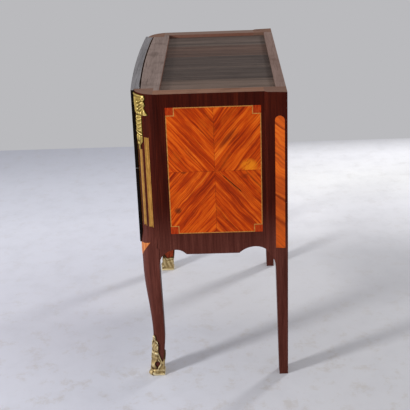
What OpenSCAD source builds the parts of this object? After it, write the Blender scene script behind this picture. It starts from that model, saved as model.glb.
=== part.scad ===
// Commode chest with two drawers on cabriole legs, its marble lifted off.
// X runs along the front, Y from the front to the back, Z up from the floor.
// The origin is the middle of the box around the whole chest, at floor level.

/* [Case] */
// Width over the side panels
case_w = 744; // [700:2:800]
// Depth from the face of the front posts to the back
case_d = 393; // [370:1:430]
// Height of the case without its marble
case_h = 830; // [800:1:860]
// Height of the straight lower edges above the floor
clear_h = 382; // [365:1:400]
// Thickness of the side panels
panel_t = 20; // [16:1:24]
// Depth of the inlays let into the wood
veneer_t = 1; // [0.8:0.1:1.4]

/* [Front posts and cabriole legs] */
// Width of a front post along the front
post_w = 62; // [58:1:66]
// Depth of a front post along the side
post_d = 51; // [48:1:58]
// Radius of the rounded outer corner of a front post
post_r = 62.5; // [58:0.5:66]
// Width of a leg at the knee along the front
knee_w = 45; // [42:0.5:48]
// Depth of a leg at the knee along the side
knee_d = 50.5; // [46:0.5:54]
// How far the knee stands out in front of its post
knee_out = 5.5; // [3:0.5:7]
// Height over which the knee dies out beside the drawer front
knee_rise_h = 40; // [30:2:50]
// Height of the knee, where the leg starts to curve in
knee_h = 340; // [330:1:345]
// Width of a leg at the ankle along the front
ankle_w = 32; // [28:0.5:36]
// Depth of a leg at the ankle along the side
ankle_d = 33; // [28:0.5:36]
// Height of the ankle above the floor
ankle_h = 125; // [115:1:150]
// How far the ankle curves in from the side of the knee
ankle_in = 17; // [12:0.5:22]
// How far the ankle curves back from the front of the knee
ankle_back = 19.5; // [14:0.5:24]
// How far the foot kicks out to the side below the ankle
foot_out = 6; // [2:0.5:8]
// How far the foot kicks forward below the ankle
foot_forward = 9; // [4:0.5:12]
// Radius of the rounded front arris at the ankle
ankle_r = 18; // [14:0.5:24]

/* [Shaped lower edges] */
// Radius of the arch that springs from a front leg
arch_r = 46; // [42:1:56]
// Rise of the front arch above the straight edge
arch_rise = 14; // [10:0.5:18]
// Run of the shoulder between the front arch and the straight edge
arch_shoulder = 29; // [24:1:36]
// Rise of the rear arch above the straight edge
rear_rise = 18; // [12:0.5:22]
// Run of the rear arch from its crown to the leg
rear_arch_run = 54; // [46:1:60]
// Height of the rear arch from its spring to its crown
rear_arch_drop = 68; // [60:1:76]
// Run of the shoulder between the rear arch and the straight edge
rear_shoulder = 45; // [36:1:52]
// Drop in the middle of the front apron
apron_drop = 28; // [18:1:36]
// Half width of the drop in the middle of the front apron
drop_half = 95; // [80:1:110]
// Thickness of the front apron
apron_t = 22; // [18:1:26]

/* [Rear posts] */
// Depth of a rear post along the side
rear_d = 58; // [54:1:64]
// How far the front arris of a rear post stands out from the side panel
rear_step = 8; // [5:0.5:10]
// Length of the cove at that arris
rear_cove = 7; // [5:0.5:9]
// How far the back arris of a rear post stands out from the side panel
rear_flare = 15; // [12:0.5:18]
// Depth of a rear foot along the side
rear_foot_d = 24; // [20:0.5:28]
// Depth of a rear leg where its arch springs
rear_leg_d = 31; // [28:0.5:34]
// Width of a rear foot along the back
rear_foot_w = 34; // [30:0.5:40]

/* [Side marquetry] */
// Space from the front post to the inlaid field
field_front = 30; // [22:1:36]
// Space from the inlaid field to the rear post
field_rear = 8.5; // [4:0.5:12]
// Space from the straight lower edge to the inlaid field
field_low = 61; // [54:1:70]
// Space from the inlaid field to the top
field_high = 36; // [32:1:46]
// Side of the corner squares
corner_sq = 20.5; // [18:0.5:28]
// Width of the light stringing
string_w = 2.4; // [1.6:0.2:3.2]
// Width of the upright strip let into a rear post
strip_w = 25; // [20:0.5:30]
// Space from that strip to the back arris
strip_edge = 7; // [5:0.5:10]
// Height of the foot of that strip above the straight lower edge
strip_low = 17; // [12:1:24]
// Space from the head of that strip to the top
strip_high = 62; // [54:1:70]

/* [Brass flutes] */
// Width of a brass flute
flute_w = 14; // [11:0.5:16]
// Depth of the pocket that a flute sits in
flute_t = 3.4; // [3:0.1:4]
// Spacing of the flutes round the post
flute_pitch = 23.4; // [20:0.2:25]
// Direction of the middle flute, in degrees from the side towards the front
flute_angle = 54.5; // [50:0.5:58]
// Height of the feet of the flutes above the straight lower edge
flute_low = 79; // [70:1:90]
// Space from the heads of the outer flutes to the top
flute_high = 117; // [105:1:125]
// Radius of the hollow in a flute
hollow_r = 8; // [7.5:0.5:9]
// Thickness of brass left under the hollow
hollow_wall = 1.4; // [1:0.1:1.8]

/* [Gilt corner mounts] */
// Length of a corner mount
chute_h = 148; // [135:1:160]
// Space from a corner mount to the top
chute_top = 4; // [2:0.5:8]
// Half width of its leafy head along the post
chute_half = 22; // [19:0.5:24]
// Share of its length that the head takes
chute_head = 0.35; // [0.32:0.01:0.4]
// Half width of its narrow drop
drop_w = 12.5; // [9:0.5:14]
// Half width of its tip
chute_tip_w = 3; // [2:0.5:5]
// How far the lowest lobe of its head stands out beside the head
lobe_out = 12; // [8:0.5:13]
// Height of its relief
chute_relief = 4.5; // [3:0.5:6]
// Thickness at its edges
chute_edge = 1.6; // [1.2:0.1:2.2]

/* [Gilt feet] */
// Height of the leaf up the front arris
sabot_h = 115; // [100:1:130]
// Height of the shoulders of that leaf
sabot_leaf_h = 96; // [86:1:104]
// Height of the scrolls under the leaf
sabot_scroll_h = 68; // [60:1:76]
// Height of the tips on the corners behind
sabot_side_h = 78; // [66:1:84]
// Height of the rim between the scrolls and the tips
sabot_rim_h = 43; // [38:1:48]
// Height of the rim behind the leg
sabot_back_h = 34; // [28:1:40]
// Thickness of the casting at its rim
sabot_t = 2.5; // [2:0.1:3.5]
// Thickness of the floor of the casting
sabot_floor = 6; // [4:0.5:8]
// How far the scrolled toe reaches past the leg
toe_reach = 15; // [10:0.5:18]
// Height of the middle of the toe
toe_z = 7; // [5:0.5:10]
// Height of the swell above the toe
instep_z = 30; // [24:1:36]

/* [Top frame] */
// Thickness of the top frame
frame_t = 22; // [18:1:26]
// Width of the side rails of the top frame
side_rail_w = 40; // [36:1:44]
// Reach of the front rail behind the face of the posts
front_rail_reach = 66; // [60:1:72]
// Width of the back rail of the top frame
back_rail_w = 25; // [22:1:30]
// Depth of the boards below the top of the frame
board_drop = 9.5; // [7:0.5:11]
// Number of boards in the top
board_count = 5; // [4:1:7]
// Open joint between the boards
board_gap = 1.2; // [0.6:0.2:2]
// Length of the tongues on the boards
tongue_l = 6; // [4:0.5:8]
// Thickness of the tongues on the boards
tongue_t = 6; // [4:0.5:7]

/* [Inner frame] */
// Thickness of the rail between the drawers
mid_rail_t = 18; // [15:1:22]
// Reach of that rail behind the face of the posts
mid_rail_reach = 61; // [54:1:68]
// Thickness of the bottom board
bottom_t = 10; // [8:0.5:12]
// Thickness of the upper drawer runners
runner_t = 14; // [10:1:16]
// Thickness of the lower drawer runners
low_runner_t = 6; // [5:0.5:8]
// Width of the bearing under a drawer side
runner_bearing = 18; // [15:1:24]
// Height of the drawer guides above the runners
guide_h = 12; // [9:0.5:16]
// Length of the stub tenons and tongues of the case
tenon_l = 12; // [8:0.5:14]

/* [Back] */
// Thickness of the back frame
back_t = 16; // [14:0.5:20]
// Width of the rails of the back frame
back_frame_w = 56; // [48:1:64]
// Thickness of the back panels
back_panel_t = 8; // [6:0.5:9]
// Depth of the grooves that hold the back panels
groove_l = 6; // [4:0.5:8]

/* [Drawers] */
// How far the drawer fronts stand out from the posts
front_overlay = 8; // [6:0.5:11]
// Bow of the drawer fronts
front_bow = 8; // [8:0.5:10]
// How far the fronts lap over the posts
front_lap = 12; // [9:1:15]
// Thickness of the drawer fronts between the posts
front_t = 22; // [20:0.5:25]
// Open joint between the drawer fronts
front_gap = 2; // [1.5:0.5:3]
// Space from the drawer fronts to the rails behind them
rail_gap = 4; // [3:0.5:5]
// Thickness of the drawer sides
side_t = 12; // [10:0.5:14]
// Thickness of the drawer backs
box_back_t = 10; // [8:0.5:12]
// Thickness of the drawer bottoms
box_bottom_t = 6; // [5:0.5:7]
// Height of the groove for the bottom above the lower edge of a side
bottom_lift = 6; // [5:0.5:8]
// Depth of the grooves in the drawer sides and front
box_groove = 4; // [3:0.5:5]
// Space behind a closed drawer
behind_gap = 22; // [15:1:30]
// Number of dovetails at each front corner
dovetail_count = 4; // [3:1:5]
// Flare of a dovetail on each of its flanks
dovetail_flare = 2.5; // [1.5:0.5:3]
// Margin of the inlaid field on a drawer front
drawer_margin = 24; // [18:1:32]
// Margin of the inlaid field at the ends of a drawer front
drawer_end_margin = 38; // [30:1:48]

/* [Locks] */
// Width of a lock
lock_w = 62; // [54:1:70]
// Height of a lock
lock_h = 44; // [38:1:48]
// Depth of a lock
lock_d = 15; // [14:0.5:17]
// Depth that a lock is let into the drawer front
lock_let_in = 1; // [0.5:0.5:2]
// Width of the bolt
bolt_w = 26; // [20:1:32]
// Height of the bolt
bolt_h = 27; // [24:0.5:30]
// Thickness of the bolt
bolt_t = 5.4; // [4.6:0.2:6]
// Throw of the bolt
bolt_throw = 8; // [6:0.5:9]
// Wall of the lock case behind the bolt
lock_wall = 1.2; // [1:0.1:1.6]
// Radius of the keyhole
key_r = 3; // [2.5:0.5:3.5]
// Length of the slot of the keyhole
key_slot = 9; // [7:0.5:11]
// Half width of an escutcheon
escutcheon_half = 14; // [12:0.5:17]
// Half height of an escutcheon
escutcheon_high = 22; // [19:0.5:25]
// Thickness of an escutcheon
escutcheon_t = 1.6; // [1.2:0.1:2.2]

/* [Ring pulls] */
// Distance of a pull from the middle of the front
pull_x = 130; // [110:1:150]
// Radius of a pull ring to the middle of its wire
ring_r = 22; // [20:0.5:25]
// Radius of the wire of a pull ring
wire_r = 2.2; // [1.8:0.1:2.6]
// Distance of the hinge of a ring from the drawer front
ring_off = 6.6; // [6.4:0.1:7.4]
// Radius of a rosette
rosette_r = 16; // [14:0.5:17]
// Thickness of a rosette in its middle
rosette_t = 2.8; // [2.2:0.1:3.2]
// Radius of the eye that holds a ring
eye_r = 4.6; // [4.4:0.1:5.4]
// Thickness of that eye
eye_t = 4; // [3:0.5:5]
// Radius of the threaded shank of a pull
shank_r = 2.5; // [2:0.1:3]
// Width of a pull nut across its corners
nut_w = 11; // [9:0.5:13]
// Thickness of a pull nut
nut_t = 4; // [3:0.5:5]

/* [Clearances] */
// Running gap of the drawers on their runners and of the bolts
run_gap = 0.3; // [0.2:0.1:0.5]
// Gap between a drawer side and its guides
guide_gap = 1; // [0.6:0.1:1.5]
// Gap above a closed drawer box
head_gap = 2.5; // [2:0.5:4]
// Gap round tenons, tongues and panels in their grooves
fit_gap = 0.2; // [0.1:0.1:0.4]
// Gap round the wire of a ring in its eye
ring_gap = 0.4; // [0.3:0.1:0.5]
// Gap between a corner mount and the end of a drawer front
mount_gap = 0.6; // [0.4:0.1:1]

/* [Hidden] */

amaranth = [0.24, 0.09, 0.07];
tulipwood = [0.74, 0.33, 0.12];
redwood = [0.72, 0.24, 0.11];
boxwood = [0.82, 0.62, 0.33];
old_oak = [0.46, 0.38, 0.32];
drawer_oak = [0.62, 0.47, 0.31];
gilt = [0.76, 0.6, 0.32];
polished_brass = [0.8, 0.63, 0.34];
iron = [0.3, 0.29, 0.28];

// Steps of round outlines
corner_fn = 180;
small_fn = 48;
bow_fn = 3600;
arch_steps = 10;
// Reach of a cutter past the face that it cuts
cut = 1;

half_w = case_w / 2;
front_half = half_w - post_w + front_lap;
bow_r = (front_half * front_half + front_bow * front_bow) / (2 * front_bow);
pull_tilt = asin(pull_x / bow_r);
pull_reach = (ring_off + eye_r) * cos(pull_tilt) + eye_t / 2 * sin(pull_tilt);

function bow_depth(x) = sqrt(bow_r * bow_r - x * x) - (bow_r - front_bow);

overall_d = case_d + front_overlay + bow_depth(pull_x) + pull_reach;
y_back = overall_d / 2;
y_case = y_back - case_d;
y_end = y_case - front_overlay;
y_mid = y_end - front_bow;
bow_centre = y_mid + bow_r;

function bow_y(x, inset) = bow_centre - sqrt(pow(bow_r - inset, 2) - x * x);

// Front posts
post_in = half_w - post_w;
post_back = y_case + post_d;
corner_x = half_w - post_r;
corner_y = y_case + post_r;
knee_y = y_case - knee_out;
leg_back = knee_y + knee_d;
leg_in = half_w - knee_w;

// Rear posts
rear_front = y_back - rear_d;
rail_in = half_w - side_rail_w;
rear_edge = y_back - rear_leg_d;
rear_foot_front = y_back - rear_foot_d;
rear_foot_in = half_w - rear_foot_w;
cant_run = rear_d - rear_cove;
cant_rise = rear_flare - rear_step;
cant_l = sqrt(cant_run * cant_run + cant_rise * cant_rise);
cant_angle = atan2(cant_run, cant_rise);

// Levels, from the floor up
box_lift = 1.5;
front_crown = clear_h + arch_rise;
spring_z = front_crown - arch_r;
bottom_z = clear_h + rear_rise;
bottom_top = bottom_z + bottom_t;
low_run_z = bottom_top + low_runner_t;
front_low = bottom_z + front_gap;
seam_z = (front_low + case_h) / 2;
mid_rail_top = seam_z + front_gap / 2 + box_lift;
mid_rail_z = mid_rail_top - mid_rail_t;
frame_z = case_h - frame_t;
board_top = case_h - board_drop;
tongue_z = frame_z + (board_top - frame_z - tongue_t) / 2;

// Levels of the two drawers: lower edge of the front, upper edge, lower edge of the box, upper edge
upper = [seam_z + front_gap / 2, case_h, mid_rail_top + run_gap, frame_z - head_gap];
lower = [front_low, seam_z - front_gap / 2, low_run_z + run_gap, mid_rail_z - head_gap];

// Rails
front_rail_back = y_case + front_rail_reach;
back_rail_front = y_back - back_rail_w;
mid_rail_back = y_case + mid_rail_reach;
rail_inset = front_t + rail_gap;
back_front = y_back - back_t;
tenon_t = 7;
tenon_y = y_case + post_d / 2;
back_groove_y = back_front + (back_t - back_panel_t) / 2;
back_low_z = clear_h + back_frame_w;
back_high_z = frame_z - back_frame_w;
muntin_half = back_frame_w / 2;

// Side field
field_y0 = post_back + field_front;
field_y1 = rear_front - field_rear;
field_z0 = clear_h + field_low;
field_z1 = case_h - field_high;

// Drawer boxes
box_half = post_in - guide_gap;
box_in = box_half - side_t;
shoulder_y = y_end + front_t;
pad_in = box_in - 3;
box_back = back_front - behind_gap;
lock_back = y_mid + front_t - lock_let_in + lock_d;
bolt_y = lock_back - lock_wall - run_gap - bolt_t / 2;
bow_at_pull = bow_y(pull_x, 0);

// Narrow step at the head of a leg where it enters its post
leg_embed = 3;
leg_hair = 0.1;
leg_rings = 22;
rise_rings = 8;
leg_arc = 10;
sabot_arc = 16;
sabot_flat = 3;
sabot_side = 4;
sabot_rings = 14;
chute_cols = 16;
chute_neck = 0.03;
chute_neck_rows = 10;
chute_head_rows = 22;
chute_drop_rows = 24;
flute_top_z = case_h - flute_high;
chute_z1 = case_h - chute_top;
chute_z0 = chute_z1 - chute_h;
chute_front_angle = acos((front_half + mount_gap - corner_x) / post_r);
chute_front_reach = (chute_front_angle - flute_angle) * post_r * PI / 180;

// Shapes placed along the three axes

module block(x0, x1, y0, y1, z0, z1) {
    translate([x0, y0, z0]) cube([x1 - x0, y1 - y0, z1 - z0]);
}

module area(a0, a1, b0, b1) {
    translate([a0, b0]) square([a1 - a0, b1 - b0]);
}

module upright(z0, z1) {
    translate([0, 0, z0]) linear_extrude(z1 - z0) children();
}

module across(x0, x1) {
    translate([x0, 0, 0]) rotate([90, 0, 90]) linear_extrude(x1 - x0) children();
}

module through(y0, y1) {
    translate([0, y1, 0]) rotate([90, 0, 0]) linear_extrude(y1 - y0) children();
}

module on_side(side) {
    if (side < 0) mirror([1, 0, 0]) children();
    else children();
}

module both_sides() {
    children();
    mirror([1, 0, 0]) children();
}

// Curves

function smooth(t) = let (c = min(max(t, 0), 1)) c * c * (3 - 2 * c);
function mix(a, b, t) = a + (b - a) * t;
function bump(x, width) = exp(-x * x / (width * width));
function arc(cx, cy, rx, ry, a0, a1) =
    [for (i = [0:arch_steps]) let (a = mix(a0, a1, i / arch_steps)) [cx + rx * cos(a), cy + ry * sin(a)]];
function shoulder_r(run, rise) = (run * run + rise * rise) / (2 * rise);
function shoulder_arc(crown_at, run, rise) =
    let (r = shoulder_r(run, rise), last = asin((r - rise) / r), z = clear_h + rise - r)
    [for (i = [1:arch_steps]) let (a = mix(90, last, i / arch_steps)) [crown_at + r * cos(a), z + r * sin(a)]];

// Lower edge from a leg to the straight part, read in the direction away from the leg
function arch_edge(leg, rise, run, drop, shoulder) =
    concat(arc(leg + run, clear_h + rise - drop, run, drop, 180, 90), shoulder_arc(leg + run, shoulder, rise));
function flipped(points) = [for (i = [len(points) - 1:-1:0]) [-points[i][0], points[i][1]]];
function drop_edge() =
    [for (i = [-arch_steps:arch_steps]) let (s = i / arch_steps)
        [s * drop_half, clear_h - apron_drop * (1 + cos(180 * s)) / 2]];

// Open space under a side, drawn in Y and Z
module side_void() {
    polygon(concat(
        [[leg_back, -cut]],
        arch_edge(leg_back, arch_rise, arch_r, arch_r, arch_shoulder),
        flipped(arch_edge(-rear_edge, rear_rise, rear_arch_run, rear_arch_drop, rear_shoulder)),
        [[rear_foot_front, 0], [rear_foot_front, -cut]]));
}

// Open space under the front, drawn in X and Z
module front_void() {
    edge = arch_edge(-leg_in, arch_rise, arch_r, arch_r, arch_shoulder);
    polygon(concat([[-leg_in, -cut]], edge, drop_edge(), flipped(edge), [[leg_in, -cut]]));
}

// Plans, drawn in X and Y

module case_plan() {
    area(0, corner_x, y_case, y_back);
    translate([corner_x, corner_y]) circle(r = post_r, $fn = corner_fn);
    area(corner_x - cut, half_w, corner_y, y_back);
}

module bow_disc(inset) {
    translate([0, bow_centre]) circle(r = bow_r - inset, $fn = bow_fn);
}

module bowed_plan(half, inset, back) {
    intersection() {
        area(-half, half, y_mid - cut, back);
        bow_disc(inset);
    }
}

// Cabriole leg: rings whose arris is rounded and whose section moves in and out with the height

function leg_curve(z) = smooth((knee_h - z) / (knee_h - ankle_h));
function foot_curve(z) = smooth((ankle_h - z) / ankle_h);
function leg_x(z) = half_w - ankle_in * leg_curve(z) + foot_out * foot_curve(z);
function leg_y(z) = knee_y + ankle_back * leg_curve(z) - foot_forward * foot_curve(z);
function leg_w(z) = mix(knee_w, ankle_w, leg_curve(z));
function leg_d(z) = mix(knee_d, ankle_d, leg_curve(z));
function leg_r(z) = mix(post_r, ankle_r, leg_curve(z));
function arc_start(r, run) = r > run ? asin((r - run) / r) : 0;

// Ring of points round a leg at height z, grown outward by g: from the back along the side, round the
// arris, along the front, the inner face and the back; the faces beside the arris take flat_n points each
function leg_ring(z, g, arc_n, flat_n, side_n) =
    let (
        x1 = leg_x(z) + g,
        y0 = leg_y(z) - g,
        r = leg_r(z) + g,
        x0 = x1 - leg_w(z) - 2 * g,
        y1 = y0 + leg_d(z) + 2 * g,
        first = arc_start(r, y1 - y0),
        last = arc_start(r, x1 - x0),
        xb = x1 - r + r * cos(first),
        yi = y0 + r - r * cos(last)
    )
    concat(
        [for (i = [0:flat_n]) [xb, mix(y1, y0 + r, i / (flat_n + 1)), z]],
        [for (i = [1:arc_n]) let (a = mix(first, 90 - last, (i - 0.5) / arc_n))
            [x1 - r + r * cos(a), y0 + r - r * sin(a), z]],
        [for (i = [1:1:flat_n]) [mix(x1 - r, x0, i / (flat_n + 1)), y0, z]],
        [for (i = [0:side_n - 1]) [x0, mix(yi, y1, i / side_n), z]],
        [for (i = [0:side_n - 1]) [mix(x0, xb, i / side_n), y1, z]]
    );

function sum(list) = list * [for (entry = list) 1];
function middle(ring) = [for (axis = [0:2]) sum([for (p = ring) p[axis]]) / len(ring)];

// Closed skin over rings with equal numbers of points; its ends are flat or fanned out from their middle
module skin(rings, fanned = false) {
    n = len(rings[0]);
    m = len(rings);
    last = (m - 1) * n;
    hub = m * n;
    polyhedron(
        points = concat(
            [for (ring = rings) each ring],
            fanned ? [middle(rings[0]), middle(rings[m - 1])] : []),
        faces = concat(
            fanned ? [for (i = [0:n - 1]) [hub, (i + 1) % n, i]] : [[for (i = [n - 1:-1:0]) i]],
            [for (k = [0:m - 2]) for (i = [0:n - 1]) let (j = (i + 1) % n, a = k * n, b = a + n)
                each [[a + i, a + j, b + j], [a + i, b + j, b + i]]],
            fanned ? [for (i = [0:n - 1]) [hub + 1, last + i, last + (i + 1) % n]]
                : [[for (i = [0:n - 1]) last + i]]),
        convexity = 6);
}

module leg() {
    skin(concat(
        [for (k = [0:leg_rings])
            leg_ring(mix(sabot_floor, spring_z - leg_embed, k / leg_rings), 0, leg_arc, 0, 1)],
        [for (z = [spring_z, spring_z + leg_embed]) leg_ring(z, -leg_hair, leg_arc, 0, 1)]));
}

// Swelling of the rounded corner that carries the knee up beside the drawer front
function rise_ring(z, d) = [for (i = [0:leg_arc])
    let (a = mix(chute_front_angle / 5, chute_front_angle, i / leg_arc))
    [corner_x + post_r * cos(a), corner_y - d - post_r * sin(a), z]];

module knee_rise() {
    skin(concat(
        [rise_ring(bottom_z - leg_embed, knee_out - leg_hair)],
        [for (k = [0:rise_rings]) let (t = k / rise_rings)
            rise_ring(bottom_z + knee_rise_h * t, mix(knee_out, 0, smooth(t)) - leg_hair)]));
}

// Stub tenons that hold the rails in the posts, grown by g for their mortises; they start inside the rails

module rail_tenon(z0, z1, y, g) {
    block(post_in - cut, post_in + tenon_l + g, y - tenon_t - g, y + tenon_t + g, z0 - g, z1 + g);
}

module top_rail_tenon(g) {
    rail_tenon(frame_z + frame_t / 4, case_h - frame_t / 4, tenon_y, g);
}

module mid_rail_tenon(g) {
    rail_tenon(mid_rail_z + mid_rail_t / 4, mid_rail_top - mid_rail_t / 4, tenon_y, g);
}

module apron_tenon(g) {
    block(post_in - cut, post_in + tenon_l + g, y_case + apron_t / 4 - g, y_case + apron_t * 3 / 4 + g,
        bottom_z - apron_t / 2 - g, bottom_z - apron_t / 10 + g);
}

module panel_tongue(y0, y1, g) {
    block(half_w - panel_t + panel_t / 4 - g, half_w - panel_t / 4 + g, y0, y1, bottom_z, frame_z);
}

module back_tenon(z0, z1, g) {
    block(rail_in - cut, rail_in + tenon_l + g, back_front + back_t / 4 - g, y_back - back_t / 4 + g,
        z0 - g, z1 + g);
}

module back_tenons(g) {
    back_tenon(back_high_z + back_frame_w / 4, frame_z - back_frame_w / 4, g);
    back_tenon(clear_h + back_frame_w / 4, back_low_z - back_frame_w / 4, g);
    block(rail_in - cut, rail_in + tenon_l + g,
        back_rail_front + back_rail_w / 2 - g, y_back - back_rail_w / 4 + g,
        frame_z + frame_t / 4 - g, case_h - frame_t / 4 + g);
}

// Space that the top boards fill in the grooves of their frame
module board_grooves() {
    reach = tongue_l + fit_gap;
    block(-rail_in - reach, rail_in + reach, front_rail_back - reach, back_rail_front + reach,
        tongue_z - fit_gap, tongue_z + tongue_t + fit_gap);
}

module back_panel(g) {
    block(muntin_half - groove_l - g, rail_in + groove_l + g, back_groove_y - g,
        back_groove_y + back_panel_t + g, back_low_z - groove_l - g, back_high_z + groove_l + g);
}

// Brass flutes round the front post

module at_flute(k) {
    translate([corner_x, corner_y, 0])
        rotate([0, 0, -(flute_angle + k * flute_pitch / post_r * 180 / PI)])
            translate([post_r, 0, 0]) children();
}

function flute_z0(k) = clear_h + flute_low;
function flute_z1(k) = k == 0 ? chute_z0 - fit_gap : flute_top_z;

// Outline of a flute, drawn across its width and up
module flute_outline(k) {
    area(-flute_w / 2, flute_w / 2, flute_z0(k), flute_z1(k));
}

module flute_pockets() {
    for (k = [-1:1])
        at_flute(k) across(-flute_t, cut) flute_outline(k);
}

module flute(k) {
    difference() {
        intersection() {
            at_flute(k) across(-flute_t, cut) flute_outline(k);
            translate([corner_x, corner_y, 0]) cylinder(r = post_r, h = case_h, $fn = corner_fn);
        }
        at_flute(k) translate([hollow_r + hollow_wall - flute_t, 0, flute_z0(k) - cut])
            cylinder(r = hollow_r, h = flute_z1(k) - flute_z0(k) + 2 * cut, $fn = small_fn);
    }
}

module brass_flutes() {
    color(polished_brass) both_sides() for (k = [-1:1]) flute(k);
}

// Posts, panels and their inlays

module post_plan() {
    intersection() {
        case_plan();
        area(post_in, half_w, y_case, post_back);
    }
}

module front_post(side) {
    color(amaranth) on_side(side) union() {
        difference() {
            union() {
                upright(spring_z, case_h) post_plan();
                upright(spring_z, bottom_z) translate([0, -knee_out]) post_plan();
                knee_rise();
            }
            across(post_in - cut, half_w + cut) side_void();
            through(knee_y - cut, post_back + cut) front_void();
            top_rail_tenon(fit_gap);
            mid_rail_tenon(fit_gap);
            apron_tenon(fit_gap);
            panel_tongue(post_back - tenon_l - fit_gap, post_back + cut, fit_gap);
            flute_pockets();
        }
        leg();
    }
}

module rear_plan() {
    polygon([
        [rail_in, rear_front], [half_w, rear_front], [half_w + rear_step, rear_front + rear_cove],
        [half_w + rear_flare, y_back], [rail_in, y_back]]);
}

// Outline of a rear post seen from behind, its leg tapered
module rear_taper() {
    polygon([
        [rail_in, case_h], [half_w + rear_flare, case_h], [half_w + rear_flare, bottom_z],
        [half_w, 0], [rear_foot_in, 0], [rail_in, clear_h]]);
}

module on_cant() {
    translate([half_w + rear_step, rear_front + rear_cove, 0]) rotate([0, 0, cant_angle]) children();
}

module strip_outline() {
    z0 = clear_h + strip_low;
    z1 = case_h - strip_high;
    x1 = cant_l - strip_edge;
    area(x1 - strip_w, x1, z0, z1 - strip_w / 2);
    translate([x1 - strip_w / 2, z1 - strip_w / 2]) circle(d = strip_w, $fn = small_fn);
}

module rear_post(side) {
    color(amaranth) on_side(side) difference() {
        intersection() {
            upright(0, case_h) rear_plan();
            through(rear_front, y_back) rear_taper();
        }
        across(rail_in - cut, half_w + rear_flare + cut) side_void();
        on_cant() through(-cut, veneer_t) strip_outline();
        panel_tongue(rear_front - cut, rear_front + tenon_l + fit_gap, fit_gap);
        back_tenons(fit_gap);
        board_grooves();
        back_panel(fit_gap);
    }
}

module rear_post_strips() {
    color(tulipwood) both_sides() on_cant() through(0, veneer_t) strip_outline();
}

module side_field(x0, x1) {
    across(x0, x1) area(field_y0, field_y1, field_z0, field_z1);
}

module side_panel(side) {
    color(amaranth) on_side(side) difference() {
        union() {
            upright(0, frame_z) intersection() {
                case_plan();
                area(half_w - panel_t, half_w, post_back, rear_front);
            }
            panel_tongue(post_back - tenon_l, post_back + cut, 0);
            panel_tongue(rear_front - cut, rear_front + tenon_l, 0);
        }
        across(half_w - panel_t - cut, half_w + cut) side_void();
        side_field(half_w - veneer_t, half_w + cut);
    }
}

// Inlay drawn about its own middle: a field with a square in each corner and stringing between them

module corner_squares(w, h, size) {
    for (i = [-1, 1]) for (j = [-1, 1])
        translate([i * (w - size) / 2, j * (h - size) / 2]) square(size, center = true);
}

module inner_field(w, h) {
    difference() {
        square([w - 2 * string_w, h - 2 * string_w], center = true);
        corner_squares(w, h, corner_sq + string_w);
    }
}

module stringing(w, h) {
    difference() {
        square([w, h], center = true);
        corner_squares(w, h, corner_sq);
        inner_field(w, h);
    }
}

// Four leaves of one flitch, opened about the middle
module leaves(w, h) {
    joint = fit_gap / 2;
    for (i = [-1, 1]) for (j = [-1, 1]) intersection() {
        inner_field(w, h);
        translate([i * w / 2, j * h / 2]) square([w - joint, h - joint], center = true);
    }
}

module side_inlay() {
    across(half_w - veneer_t, half_w)
        translate([(field_y0 + field_y1) / 2, (field_z0 + field_z1) / 2]) children();
}

module side_leaves(side) {
    color(tulipwood) on_side(side) side_inlay() leaves(field_y1 - field_y0, field_z1 - field_z0);
}

module side_stringing(side) {
    color(boxwood) on_side(side) side_inlay() stringing(field_y1 - field_y0, field_z1 - field_z0);
}

module side_corner_squares() {
    color(redwood) both_sides() side_inlay()
        corner_squares(field_y1 - field_y0, field_z1 - field_z0, corner_sq);
}

// Gilt corner mount: a leafy head with scrolled lobes over a twisted drop, laid round the post

// Relief on the head and on the drop below it
function on_head(t) = 1 - smooth((t - chute_head + 0.04) / 0.08);
function on_drop(t) = smooth((t - chute_head - 0.04) / 0.1) * smooth((0.9 - t) / 0.1);

// Half widths of the drop, and of the mount towards the side of the case and towards the drawer fronts
function chute_drop_w(t) = mix(drop_w, chute_tip_w, smooth((t - 0.84) / 0.1));
function chute_side_w(t) =
    mix(chute_half
        + 5.5 * bump(t - 0.045, 0.05)
        + 4.5 * bump(t - 0.165, 0.04)
        + lobe_out * min(max((t - 0.25) / (chute_head - 0.26), 0), 1),
        chute_drop_w(t), smooth((t - chute_head) / chute_neck));
function chute_front_w(t) =
    min(mix(chute_half + 2, drop_w - 1, min(t / chute_head, 1)), chute_drop_w(t) * (t < chute_head ? 2 : 1),
        chute_front_reach);

function chute_height(t, u) =
    chute_edge
    + chute_relief * sqrt(max(0, 1 - u * u)) * mix(0.75, 1, smooth((t - chute_head) / 0.2))
    + 1.1 * abs(cos(180 * (2.5 * u + 1.5 * t))) * smooth((1 - abs(u)) / 0.3)
    + 1.6 * bump(t - 0.03, 0.02)
    + 2.2 * bump(t - 0.3, 0.05) * bump(u + 0.72, 0.2)
    + 1.2 * bump(t - 0.13, 0.05) * bump(u + 0.6, 0.2)
    + 1.2 * sin(360 * 8 * t + 150 * u) * on_drop(t);

function chute_angle(t, u) =
    flute_angle + (u > 0 ? chute_front_w(t) : chute_side_w(t)) * u / post_r * 180 / PI;

function chute_point(t, u, h) =
    let (a = chute_angle(t, u), r = post_r + h)
    [corner_x + r * cos(a), corner_y - r * sin(a), mix(chute_z1, chute_z0, t)];

// Levels of its rings from the foot up, closest where the head narrows to the drop
chute_levels = concat(
    [for (k = [chute_drop_rows:-1:0]) mix(chute_head + chute_neck, 1, k / chute_drop_rows)],
    [for (k = [chute_neck_rows - 1:-1:0]) chute_head + chute_neck * k / chute_neck_rows],
    [for (k = [chute_head_rows - 1:-1:0]) chute_head * k / chute_head_rows]);

function chute_ring(t) = concat(
    [for (i = [0:chute_cols]) let (u = 2 * i / chute_cols - 1) chute_point(t, u, chute_height(t, u))],
    [for (i = [chute_cols:-1:0]) let (u = 2 * i / chute_cols - 1) chute_point(t, u, leg_hair)]);

module corner_mount(side) {
    color(gilt) on_side(side)
        skin([for (t = chute_levels) chute_ring(t)]);
}

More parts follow.
